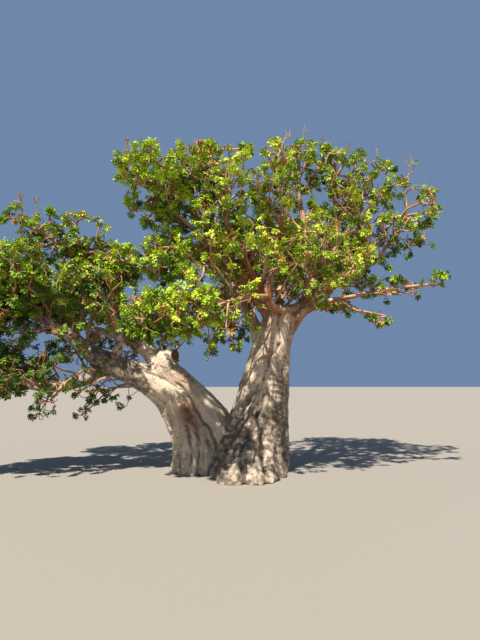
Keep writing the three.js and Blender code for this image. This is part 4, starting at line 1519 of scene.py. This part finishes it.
@dataclass
class BarkSkin:
    """One trunk and the stout boughs that it bears, under one bark with its folds and wrinkles."""

    skeleton: Skeleton
    trunk: str
    voxel: float = 0.0172
    quick_voxel: float = 1.8
    trunk_sides: int = 128
    trunk_rings: int = 70
    rings_to_foot: float = 1.15
    upright_foot: float = 2.2
    dome_rings: int = 7
    dome: float = 0.55
    softening: int = 11
    lost_in_softening: float = 380.0
    fold_depth: float = 0.05
    wrinkle_depth: float = 0.016
    knot_depth: float = 0.016
    collar_rise: float = 0.28
    collar_reach: float = 0.3
    samples: int = 28
    trunk_pull: float = 1.15
    limb_offset: float = 3100.0
    batch: int = 20000
    brown_from: float = 2.45
    brown_over: float = 0.7
    brown: float = 0.75
    painted_shade_below: float = 2.5
    painted_shade_low: float = 1.7
    points: list = field(default_factory=list)
    faces: list = field(default_factory=list)

    def __post_init__(self) -> None:
        """Lists the limbs of this skin."""
        self.boughs = [name for name in BOUGHS if is_stout(name) and trunk_of(name) == self.trunk]
        self.limbs = [self.trunk, *self.boughs]

    def _add(self, rings: list[np.ndarray], foot: np.ndarray, tip: np.ndarray) -> None:
        """Adds a closed tube of rings, with a point at each end."""
        sides = len(rings[0])
        first = sum(len(p) for p in self.points)
        self.points.append(np.vstack([*rings, foot, tip]))
        last = first + len(rings) * sides
        for k in range(sides):
            n = (k + 1) % sides
            for i in range(len(rings) - 1):
                a = first + i * sides
                self.faces.append((a + k, a + n, a + sides + n, a + sides + k))
            self.faces.append((last, first + n, first + k))
            self.faces.append((last + 1, last - sides + k, last - sides + n))

    def _trunk_radius(self, t: float, z: float, angles: np.ndarray) -> np.ndarray:
        """The trunk's radius at a share of its run, for each angle round it."""
        plan = TRUNKS[self.trunk]
        count, depth, twist = plan.flutes
        plain = mix(plan.girth[0], plan.girth[1], t**plan.taper)
        size = plain * (1 + depth * np.cos(count * angles + twist * math.tau * t))
        for root in plan.roots:
            off = short_turn(np.degrees(angles) - root.heading)
            fading = (max(0.0, z) / root.height) ** 1.6
            size = size + root.reach * np.exp(-((off / root.width) ** 2) - fading)
        return size

    def _add_trunk(self) -> None:
        """Adds the trunk, its lower rings level and its upper ones square to its run."""
        plan, route = TRUNKS[self.trunk], self.skeleton.routes[self.trunk]
        angles = np.arange(self.trunk_sides) * math.tau / self.trunk_sides
        rings = []
        for i in range(self.trunk_rings + 1):
            t = (i / self.trunk_rings) ** self.rings_to_foot
            heading = route.heading(t)
            tilt = unit(heading + (UP - heading) * max(0.0, 1 - self.upright_foot * t))
            across = unit(np.array([1.0, 0, 0]) - tilt * tilt[0])
            middle = route.at(t)
            size = self._trunk_radius(t, float(middle[2]), angles)
            rings.append(middle + ring(size, angles, across, np.cross(tilt, across)))
        rise = heading * self.dome * plan.girth[1]
        for i in range(1, self.dome_rings + 1):
            lean = 0.5 * math.pi * i / (self.dome_rings + 1)
            inner = (rings[self.trunk_rings] - route.end) * math.cos(lean)
            rings.append(route.end + inner + rise * math.sin(lean))
        self._add(rings, route.start, route.end + rise)

    def _add_bough(self, name: str, sides: int = 24, steps: int = 30) -> None:
        """Adds a bough, with a collar where it leaves what it grows from."""
        route = self.skeleton.routes[name]
        angles = np.arange(sides) * math.tau / sides
        across, _ = square_to(route.heading(0))
        rings = []
        for i in range(steps + 1):
            t = i / steps
            heading = route.heading(t)
            across = unit(across - heading * (across @ heading))
            size = self.skeleton.bough_radius(name, t)
            if name != "sawn_stub":
                size *= collar(t, self.collar_rise, self.collar_reach)
            size += self.lost_in_softening / size
            rings.append(route.at(t) + ring(size, angles, across, np.cross(heading, across)))
        self._add(rings, route.start, route.end)

    def _nearest_limb(self, places: np.ndarray) -> tuple[np.ndarray, np.ndarray, np.ndarray]:
        """For each place: the limb that it lies on, the way across to it and the distance along.

        Args:
            places: Rows of places in millimetres.

        Returns:
            Each one's limb number, the vector from the limb's line, and the distance along that line.
        """
        shares = np.linspace(0, 1, self.samples)
        routes = [self.skeleton.routes[name] for name in self.limbs]
        middle = np.vstack([route.at(shares) for route in routes])
        heading = np.array([route.heading(t) for route in routes for t in shares])
        run = np.concatenate([shares * way.length() + self.limb_offset * k for k, way in enumerate(routes)])
        owner = np.repeat(np.arange(len(routes)), self.samples)
        size = np.array([self.skeleton.bough_radius(name, t) for name in self.boughs for t in shares])
        plan = TRUNKS[self.trunk]
        stem = mix(plan.girth[0], plan.girth[1], shares**plan.taper) * self.trunk_pull
        size = np.concatenate([stem, size])
        nearest = np.empty(len(places), int)
        for first in range(0, len(places), self.batch):
            part = slice(first, first + self.batch)
            gap = np.linalg.norm(places[part, None] - middle[None], axis=2) / size
            nearest[part] = gap.argmin(axis=1)
        away = places - middle[nearest]
        along = rows_dot(away, heading[nearest])
        return owner[nearest], away - heading[nearest] * along[:, None], run[nearest] + along

    def _fold(self, places: np.ndarray, on_trunk: np.ndarray) -> tuple[np.ndarray, np.ndarray]:
        """How far the named folds push each place out, and how brown they make it.

        Args:
            places: Rows of places in millimetres.
            on_trunk: Which of them lie on the trunk.

        Returns:
            A rise in millimetres and a brownness from 0 to 1 for each place: stains, and in one band
            painted shade.
        """
        line = self.skeleton.routes[self.trunk].at(np.linspace(0, 1, 200))
        middle = np.column_stack([np.interp(places[:, 2], line[:, 2], line[:, k]) for k in (0, 1)])
        away = places[:, :2] - middle
        size = np.hypot(away[:, 0], away[:, 1])
        heading = np.degrees(np.arctan2(away[:, 1], away[:, 0]))
        height = places[:, 2]
        rise, stain_and_shade = np.zeros(len(places)), np.zeros(len(places))
        for number, fold in enumerate(FOLDS[self.trunk]):
            phase = 2.1 * number
            wander = 20 * np.sin(height / 97 + phase) + 9 * np.sin(height / 39 + 2 * phase)
            spots = [
                np.column_stack([np.radians(short_turn(turn - heading)) * size + wander, z - height])
                for turn, z in fold.line
            ]
            gap = np.linalg.norm(spots[0], axis=1)
            for start, end in zip(spots, spots[1:]):
                step = end - start
                share = np.clip(-rows_dot(start, step) / rows_dot(step, step), 0, 1)
                gap = np.minimum(gap, np.linalg.norm(start + step * share[:, None], axis=1))
            profile = np.exp(-((gap / fold.width) ** 2)) * (0.8 + 0.2 * np.sin(height / 150 + phase))
            rise += fold.rise * profile
            stain_and_shade = np.maximum(stain_and_shade, fold.stain_and_shade * np.exp(-((gap / fold.width / 1.3) ** 2)))
        return rise * on_trunk, stain_and_shade * on_trunk

    def relief_tree(self) -> NodeTree:
        """A tree that pushes bark in and out: folds along the limb, wrinkles across it and knots."""
        depths = [(title, NUMBER, 0.01) for title in ("Fold Depth", "Wrinkle Depth", "Knot Depth")]
        inputs = [("Geometry", GEOMETRY), *depths, ("Bark", MATERIAL)]
        n, inp = new_group("bark_relief", inputs, {"Geometry": GEOMETRY})
        across, along = n.carried("across", "FLOAT_VECTOR"), n.carried("along")
        girth = n.make("ShaderNodeVectorMath", {0: across}, operation="LENGTH").outputs["Value"]
        waves = []
        for (title, *_), wide, long in zip(depths, (4.2, 3.0, 14.0), (0.9, 9.0, 9.0)):
            wave = n.math("SUBTRACT", n.grain(across, along, wide, long, 2.0), 0.5)
            waves.append(n.times(wave, inp[title]))
        stoutness = n.math("MULTIPLY_ADD", n.ramp(girth, 0.03, 0.3), 1.6, 0.4)
        push = n.times(n.total(*waves), stoutness)
        offset = n.scaled(n.make("GeometryNodeInputNormal").outputs[0], push)
        moved = n.make("GeometryNodeSetPosition", {"Geometry": inp["Geometry"], "Offset": offset})
        return n.finish(moved.outputs[0], inp["Bark"])

    def build(self, material: Material) -> Object:
        """Fuses the limbs, cuts them at the ground and gives them their relief.

        Args:
            material: The bark.

        Returns:
            The finished piece.
        """
        self._add_trunk()
        for name in self.boughs:
            self._add_bough(name)
        raw = placed(new_mesh("bark_form", np.vstack(self.points) * MM, (), self.faces))
        remesh = raw.modifiers.new("fuse", "REMESH")
        remesh.mode = "VOXEL"
        remesh.voxel_size = self.voxel * 1
        smooth = raw.modifiers.new("soften", "SMOOTH")
        smooth.factor, smooth.iterations = 0.5, self.softening
        fused = baked(raw, "bark_fused")
        point_outwards(fused, cut=True)
        places = mesh_points(fused.data)
        owner, across, along = self._nearest_limb(places / MM)
        rise, stain_and_shade = self._fold(places / MM, owner == 0)
        normals = mesh_points(fused.data, "normal")
        fused.data.vertices.foreach_set("co", (places + normals * (rise * MM)[:, None]).ravel())
        height = places[:, 2]
        # Above brown_from the main trunk turns browner, and browner still where it faces down, which is
        # painted shade
        high = np.clip((height - self.brown_from) / self.brown_over, 0, 1) * (self.trunk == "main_trunk")
        under = np.clip(-normals[:, 2] + 0.1, 0, 1) * high + self.brown * high
        # Painted shade at the trunk's foot, darker nearer the ground
        low = np.clip(self.painted_shade_low * (1 - height / self.painted_shade_below), 0, 1)
        low *= SHADE_PAINTED_FEET[self.trunk]
        # Painted shade on the bark of the named boughs
        weathered = np.isin(owner, [self.limbs.index(name) for name in SHADE_PAINTED_BOUGHS if name in self.limbs])
        store(fused.data, "across", across * MM)
        store(fused.data, "along", along * MM)
        store(fused.data, "stained", np.maximum(stain_and_shade, under))
        store(fused.data, "weathered", np.maximum(weathered, low))
        values = {
            "Fold Depth": self.fold_depth,
            "Wrinkle Depth": self.wrinkle_depth,
            "Knot Depth": self.knot_depth,
            "Bark": material,
        }
        skin = grown(fused, self.relief_tree(), values, f"{self.trunk}_bark")
        level_foot(skin)
        # The bark paints shade in creases and light on ridges from this depth
        store(skin.data, "hollow", hollows(skin.data))
        shade(skin, material)
        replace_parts(skin, *self.limbs)
        return skin


def is_stout(name: str) -> bool:
    """True for a bough that is fused with its trunk under one bark."""
    return BOUGHS[name].girth[0] >= STOUT


def trunk_of(name: str) -> str:
    """The trunk that a bough belongs to."""
    while name in BOUGHS:
        name = BOUGHS[name].grows_from
    return name


def level_foot(made: Object, strayed: float = 0.006) -> None:
    """Brings the foot back to the ground after the relief has moved it by so much at most."""
    places = mesh_points(made.data)
    places[places[:, 2] < strayed, 2] = 0.0
    made.data.vertices.foreach_set("co", places.ravel())
    made.data.update()


def hollows(mesh: Mesh) -> np.ndarray:
    """How deep in a crease each point of a mesh lies, for the bark's painted shade in creases and painted
    light on ridges.

    Args:
        mesh: The mesh.

    Returns:
        A number for each point: 0 on a ridge, 0.5 on even bark and 1 in a crease.
    """
    count = len(mesh.vertices)
    ends = np.empty(len(mesh.edges) * 2, np.int32)
    mesh.edges.foreach_get("vertices", ends)
    one, other = ends.reshape(-1, 2).T.ravel(), ends.reshape(-1, 2).T[::-1].ravel()
    share = np.maximum(np.bincount(one, minlength=count), 1)
    places, normals = mesh_points(mesh), mesh_points(mesh, "normal")
    evened, depth = places.copy(), np.zeros(count)
    for step in range(1, max(HOLLOWS) + 1):
        around = [np.bincount(one, evened[other, k], count) / share for k in range(3)]
        evened = (evened + np.column_stack(around)) / 2
        if step in HOLLOWS:
            depth += rows_dot(evened - places, normals) / HOLLOWS[step]
    return np.clip(0.5 + 0.5 * depth, 0, 1)


class Tubes:
    """Slender boughs and twigs, drawn as tubes along lines."""

    line_offset = 2700
    bough_steps = 24
    collar_rise = 0.3
    collar_reach = 0.12
    foot_girth = 1.2
    underside_shade = 0.6
    thin_brown = 0.75
    thin = (0.016, 0.006)

    def __init__(self) -> None:
        """Starts with no lines."""
        self.points: list[np.ndarray] = []
        self.edges: list[np.ndarray] = []
        self.girths: list[np.ndarray] = []
        self.alongs: list[np.ndarray] = []
        self.count = 0

    def add_line(self, points: np.ndarray, girths: np.ndarray) -> None:
        """Adds one line with its radii, both in millimetres."""
        n = len(points)
        steps = np.linalg.norm(np.diff(points, axis=0), axis=1)
        self.points.append(points)
        self.girths.append(girths)
        self.alongs.append(np.concatenate([[0], np.cumsum(steps)]) + self.line_offset * len(self.points))
        self.edges.append(np.column_stack([np.arange(n - 1), np.arange(1, n)]) + self.count)
        self.count += n

    def add_bough(self, skeleton: Skeleton, name: str) -> None:
        """Adds a bough, with a collar at its foot."""
        shares = np.arange(self.bough_steps + 1) / self.bough_steps
        collars = [collar(t, self.collar_rise, self.collar_reach) for t in shares]
        radii = [skeleton.bough_radius(name, t) * stouter for t, stouter in zip(shares, collars)]
        self.add_line(skeleton.routes[name].at(shares), np.array(radii))

    def add_network(self, net: Network) -> None:
        """Adds the twigs of a net, each as a line from the point where it leaves another."""
        radii = net.radii()
        children: dict[int, list[int]] = {}
        for i, parent in enumerate(net.parents):
            children.setdefault(parent, []).append(i)
        heads = list(children.get(-1, []))
        while heads:
            at = heads.pop()
            parent = net.parents[at]
            line = [parent, at] if parent >= 0 else [at]
            while children.get(at):
                following = sorted(children[at], key=lambda c: (-radii[c], c))
                heads += following[1:]
                at = following[0]
                line.append(at)
            if len(line) < 2:
                continue
            girths = radii[line]
            if parent >= 0:
                girths[0] = min(girths[0], girths[1] * self.foot_girth)
            self.add_line(np.array([net.points[i] for i in line]), girths)

    @staticmethod
    def tree(sides: int) -> NodeTree:
        """A tree that turns edges with a girth into closed tubes, which know the way across them."""
        inputs = [("Geometry", GEOMETRY), ("Sides", "NodeSocketInt", sides), ("Bark", MATERIAL)]
        n, inp = new_group(f"tubes_{sides}", inputs, {"Geometry": GEOMETRY})
        girth, centre = n.carried("girth"), n.carried("centre", "FLOAT_VECTOR")
        place = n.make("GeometryNodeInputPosition").outputs[0]
        curve = n.make("GeometryNodeMeshToCurve", {0: inp["Geometry"]}).outputs[0]
        circle = {"Resolution": inp["Sides"], "Radius": 1.0}
        profile = n.make("GeometryNodeCurvePrimitiveCircle", circle).outputs[0]
        sweep = {"Curve": curve, "Profile Curve": profile, "Scale": girth, "Fill Caps": True}
        skin = n.make("GeometryNodeCurveToMesh", sweep).outputs[0]
        offset = n.make("ShaderNodeVectorMath", {0: place, 1: centre}, operation="SUBTRACT").outputs[0]
        values = {"Geometry": skin, "Name": "across", "Value": offset}
        known = n.make("GeometryNodeStoreNamedAttribute", values, data_type="FLOAT_VECTOR", domain="POINT")
        return n.finish(known.outputs[0], inp["Bark"])

    def build(self, name: str, sides: int, material: Material) -> Object:
        """Makes the tubes.

        Args:
            name: The piece's name.
            sides: How many sides each tube has.
            material: Its bark.

        Returns:
            The piece.
        """
        points = np.vstack(self.points) * MM
        mesh = new_mesh(f"{name}_lines", points, np.vstack(self.edges).tolist())
        store(mesh, "girth", np.concatenate(self.girths) * MM)
        store(mesh, "along", np.concatenate(self.alongs) * MM)
        store(mesh, "centre", points)
        made = grown(placed(mesh), self.tree(sides), {"Sides": sides, "Bark": material}, name)
        point_outwards(made)
        store(made.data, "hollow", np.full(len(made.data.vertices), 0.5))
        # Painted shade on the tubes' undersides; the thinnest twigs are a redder brown
        under = np.clip(-mesh_points(made.data, "normal")[:, 2], 0, 1) * self.underside_shade
        ways = np.empty(len(made.data.vertices) * 3, np.float32)
        made.data.attributes["across"].data.foreach_get("vector", ways)
        plain_from, brown_to = self.thin
        thinness = (plain_from - np.linalg.norm(ways.reshape(-1, 3), axis=1)) / (plain_from - brown_to)
        store(made.data, "stained", np.maximum(under, np.clip(thinness, 0, 1) * self.thin_brown))
        return shade(made, material)


@dataclass
class Leaf:
    """One hand-shaped leaf: leaflets fanned from the end of a stalk, folded and drooping."""

    leaflets: int = 5
    fan: float = 240.0
    length: float = 0.062
    width: float = 0.032
    droop: float = 0.36
    fold: float = 0.24
    stalk: float = 0.045
    half_stalk: float = 0.0016
    outline: tuple = ((0, 0), (0.42, 0.36), (0.76, 0.5), (1.0, 0), (0.76, -0.5), (0.42, -0.36))

    def shape(self) -> tuple[np.ndarray, list]:
        """The points and faces of one leaf, lying along +X with its face up.

        Returns:
            Rows of points in metres, and the faces between them.
        """
        points: list[Spot] = []
        faces: list[tuple[int, ...]] = []
        for k in range(self.leaflets):
            share = k / (self.leaflets - 1) - 0.5
            turn = math.radians(self.fan) * share
            long = self.length * (1 - 0.5 * abs(share))
            wide = self.width * (1 - 0.35 * abs(share))
            first = len(points)
            cos, sin = math.cos(turn), math.sin(turn)
            for along, across in self.outline:
                x, y = along * long, across * wide
                z = abs(across) * wide * self.fold - self.droop * long * along * along
                points.append((x * cos - y * sin, x * sin + y * cos, z))
            faces.append((first, first + 5, first + 4, first + 3))
            faces.append((first, first + 3, first + 2, first + 1))
        first = len(points)
        for x, side in ((-self.stalk, -1), (-self.stalk, 1), (0.0, 1), (0.0, -1)):
            points.append((x, side * self.half_stalk, 0.0))
        faces.append((first, first + 3, first + 2, first + 1))
        return np.array(points), faces


@dataclass
class Foliage:
    """The leaves of every net, in rosettes round the tips of its twigs."""

    leaf: Leaf = field(default_factory=Leaf)
    rosette: int = 6
    leaf_size: tuple[float, float] = (0.75, 1.25)
    leaf_droop: float = 0.4
    turning_share: float = 0.07
    shoot_sun: float = 0.6
    most_in_a_piece: int = 9000
    golden: float = math.pi * (3 - math.sqrt(5))

    @staticmethod
    def _tint(sun: float, outward: np.ndarray, luck: float) -> Tint:
        """The green for a rosette, as painted light and shade: sunnier high and to the front, and in the
        masses that catch the sun.
        """
        score = sun + 0.25 * float(outward[2]) - 0.12 * float(outward[1]) + 0.7 * (luck - 0.5)
        for limit, tint in ((0.85, Tint.SUNLIT), (0.5, Tint.FRESH), (0.2, Tint.MIDDLE)):
            if score > limit:
                return tint
        return Tint.DEEP

    def _rosette(
        self, place: np.ndarray, heading: np.ndarray, count: int, chance: np.random.Generator
    ) -> list[tuple]:
        """The places, turns and sizes of the leaves round one tip.

        Args:
            place: The tip, in millimetres.
            heading: The direction in which its twig grows.
            count: How many leaves there are.
            chance: Where its draws come from.

        Returns:
            For each leaf its place in metres, its turn and its size.
        """
        side, over = square_to(unit(heading))
        leaves = []
        start = chance.uniform(0, math.tau)
        for k in range(count):
            lean = chance.uniform(0.5, 1.4)
            out = turned(start + k * self.golden, side, over)
            forward = unit(heading * math.cos(lean) + out * math.sin(lean) - UP * self.leaf_droop)
            tilt = UP + chance.normal(0, 0.5, 3)
            normal = unit(tilt - forward * (tilt @ forward))
            back = place * MM - heading * 0.01 * k + forward * self.leaf.stalk
            turn = Matrix((forward, np.cross(normal, forward), normal)).transposed().to_euler()
            leaves.append((back, tuple(turn), chance.uniform(*self.leaf_size)))
        return leaves

    def deal(self, nets: list[Network]) -> dict[Tint, list]:
        """Places every leaf and deals the rosettes out to the greens.

        Args:
            nets: The grown nets.

        Returns:
            For each green, its leaves' places, turns and sizes.
        """
        dealt: dict[Tint, list] = {tint: [] for tint in Tint}
        for net in nets:
            shoot_sun = SHADED_SHOOTS.get(net.name, self.shoot_sun)
            sun = MASSES[net.name].sun if net.name in MASSES else shoot_sun
            middle = np.mean([net.points[tip] for tip in net.tips], axis=0) if net.tips else UP
            for tip in net.tips:
                place = net.points[tip]
                heading = unit(place - net.points[net.parents[tip]])
                tint = self._tint(sun, unit(place - middle), float(net.chance.random()))
                if net.chance.random() < self.turning_share:
                    tint = Tint.TURNING
                count = self.rosette + int(net.chance.integers(-2, 3))
                dealt[tint] += self._rosette(place, heading, count, net.chance)
        return dealt

    @staticmethod
    def tree() -> NodeTree:
        """A tree that sets a leaf at each point, turned and sized by the point's attributes."""
        inputs = [("Geometry", GEOMETRY), ("Leaf", "NodeSocketObject"), ("Leaf Size", NUMBER, 1.0)]
        n, inp = new_group("leaf_sprays", [*inputs, ("Green", MATERIAL)], {"Geometry": GEOMETRY})
        turn = n.make("FunctionNodeEulerToRotation", {0: n.carried("turn", "FLOAT_VECTOR")}).outputs[0]
        size = n.times(n.carried("size"), inp["Leaf Size"])
        leaf = n.make("GeometryNodeObjectInfo", {"Object": inp["Leaf"]}).outputs["Geometry"]
        values = {"Points": inp["Geometry"], "Instance": leaf, "Rotation": turn, "Scale": size}
        spread = n.make("GeometryNodeInstanceOnPoints", values)
        return n.finish(spread.outputs[0], inp["Green"])

    def build(self, nets: list[Network], palette: Palette) -> None:
        """Makes the leaves, as few pieces as can be for each green.

        Args:
            nets: The grown nets.
            palette: The materials.
        """
        points, faces = self.leaf.shape()
        one = placed(new_mesh("leaf_pattern", points, (), faces))
        tree = self.tree()
        for tint, leaves in self.deal(nets).items():
            material = palette.leaf(tint)
            shares = math.ceil(len(leaves) / self.most_in_a_piece)
            for number in range(shares):
                part = leaves[number::shares]
                places, turns, sizes = (np.array(column) for column in zip(*part))
                mesh = new_mesh("leaf_places", places)
                store(mesh, "turn", turns)
                store(mesh, "size", sizes)
                values = {"Leaf": one, "Leaf Size": 1.0, "Green": material}
                made = grown(placed(mesh), tree, values, f"leaves_{tint.value}_{number + 1}")
                shade(made, material, smooth=False)
                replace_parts(made, *MASSES)
                LOG.info("%s: %d leaves", made.name, len(part))
        bpy.data.objects.remove(one, do_unlink=True)


@dataclass
class SawnFace:
    """The flat, brown end of the stub that was sawn off the left trunk."""

    skeleton: Skeleton
    sides: int = 40
    within: float = 0.93
    levels: tuple = ((0.02, -0.03), (1.0, -0.03), (1.0, 0.004), (0.9, 0.009), (0.5, 0.011), (0.02, 0.012))

    def build(self, material: Material) -> Object:
        """Makes the face as a thin, slightly bulged plate sunk into the stub's end."""
        route = self.skeleton.routes["sawn_stub"]
        heading = route.heading(1)
        side, over = square_to(heading)
        radius = BOUGHS["sawn_stub"].girth[1] * MM * self.within
        points = []
        for share, out in self.levels:
            middle = route.end * MM + heading * out
            for k in range(self.sides):
                turn = math.tau * k / self.sides
                wave = 1 + 0.03 * math.cos(3 * turn + 1) + 0.02 * math.cos(7 * turn)
                reach = radius * share * wave
                points.append(middle + side * reach * math.cos(turn) + over * reach * math.sin(turn))
        n = self.sides
        faces: list[tuple[int, ...]] = []
        for i in range(len(self.levels) - 1):
            for k in range(n):
                a, b = i * n + k, i * n + (k + 1) % n
                faces.append((a, b, b + n, a + n))
        faces += [tuple(range(n)), tuple(range(len(points) - n, len(points)))]
        made = placed(new_mesh("sawn_face", np.array(points), (), faces))
        point_outwards(made)
        return shade(made, material)


@dataclass
class Studio:
    """The plain pale floor, the soft light and the camera where the photographer stood."""

    pitch: float = 7.5
    lens: float = 27.0
    floor_size: float = 400.0
    aim: float = 2.5

    def build(self) -> None:
        """Makes the floor, the lights and the camera."""
        half = self.floor_size / 2
        corners = np.array([(-half, -half, 0), (half, -half, 0), (half, half, 0), (-half, half, 0)])
        floor = placed(new_mesh("floor", corners, (), [(0, 1, 2, 3)]))
        material = bpy.data.materials.new("floor_pale")
        material.use_nodes = True
        shader = material.node_tree.nodes["Principled BSDF"]
        shader.inputs["Base Color"].default_value = linear(138, 131, 121)
        shader.inputs["Roughness"].default_value = 0.95
        floor.data.materials.append(material)
        self._light("key", (-2.5, -5.4, 12.4), 8.2, 0.02, (1.0, 0.95, 0.86))
        self._light("fill", (7.0, -7.0, 4.5), 0.1, 0.9, (0.92, 0.96, 1.0))
        world = bpy.data.worlds.new("sky")
        bpy.context.scene.world = world
        world.use_nodes = True
        back = world.node_tree.nodes["Background"]
        back.inputs["Color"].default_value = (0.4, 0.62, 1.0, 1.0)
        back.inputs["Strength"].default_value = 0.4
        camera = bpy.data.objects.new("camera", bpy.data.cameras.new("camera"))
        bpy.context.scene.collection.objects.link(camera)
        camera.location = EYE * MM
        camera.rotation_euler = (math.radians(90 + self.pitch), 0, 0)
        camera.data.sensor_width = 36.0
        camera.data.lens = self.lens
        camera.data.clip_end = 500.0
        bpy.context.scene.camera = camera
        bpy.context.scene.view_settings.view_transform = "Standard"

    def _light(self, name: str, place: Spot, power: float, angle: float, colour: tuple) -> None:
        """A far, soft light that shines from a place towards the tree."""
        light = bpy.data.lights.new(name, "SUN")
        light.energy, light.angle, light.color = power, angle, colour
        made = bpy.data.objects.new(name, light)
        bpy.context.scene.collection.objects.link(made)
        made.location = place
        way = Vector((0, 0, self.aim)) - Vector(place)
        made.rotation_euler = way.to_track_quat("-Z", "Y").to_euler()


def main() -> None:
    """Builds the tree and its studio."""
    logging.basicConfig(level=logging.INFO, format="%(name)s %(message)s")
    Studio().build()
    palette = Palette()
    skeleton = Skeleton()
    trunk_bark = palette.bark("trunk_bark", TRUNK_BARK)
    twig_bark = palette.bark("twig_bark", TWIG_BARK)
    for trunk in TRUNKS:
        BarkSkin(skeleton, trunk).build(trunk_bark)
    SawnFace(skeleton).build(palette.cut_wood())
    slender = [name for name in BOUGHS if not is_stout(name)]
    boughs = Tubes()
    for name in slender:
        boughs.add_bough(skeleton, name)
    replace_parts(boughs.build("slender_boughs", 12, twig_bark), *slender)
    nets: list[Network] = [Mass(name, skeleton, index + 1) for index, name in enumerate(MASSES)]
    for index, (name, count) in enumerate(SIDE_SHOOTS.items()):
        nets.append(SideShoots(name, skeleton, FIRST_SHOOT_SEED + index, count))
    for number in range(TWIG_PIECES):
        twigs = Tubes()
        for net in nets[number::TWIG_PIECES]:
            twigs.add_network(net)
        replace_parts(twigs.build(f"twigs_{number + 1}", 5, twig_bark), *MASSES)
    tips, bare = sum(len(net.tips) for net in nets), sum(len(net.bare) for net in nets)
    LOG.info("%d rosettes, %d bare twigs", tips, bare)
    Foliage().build(nets, palette)


if __name__ == "__main__":
    main()
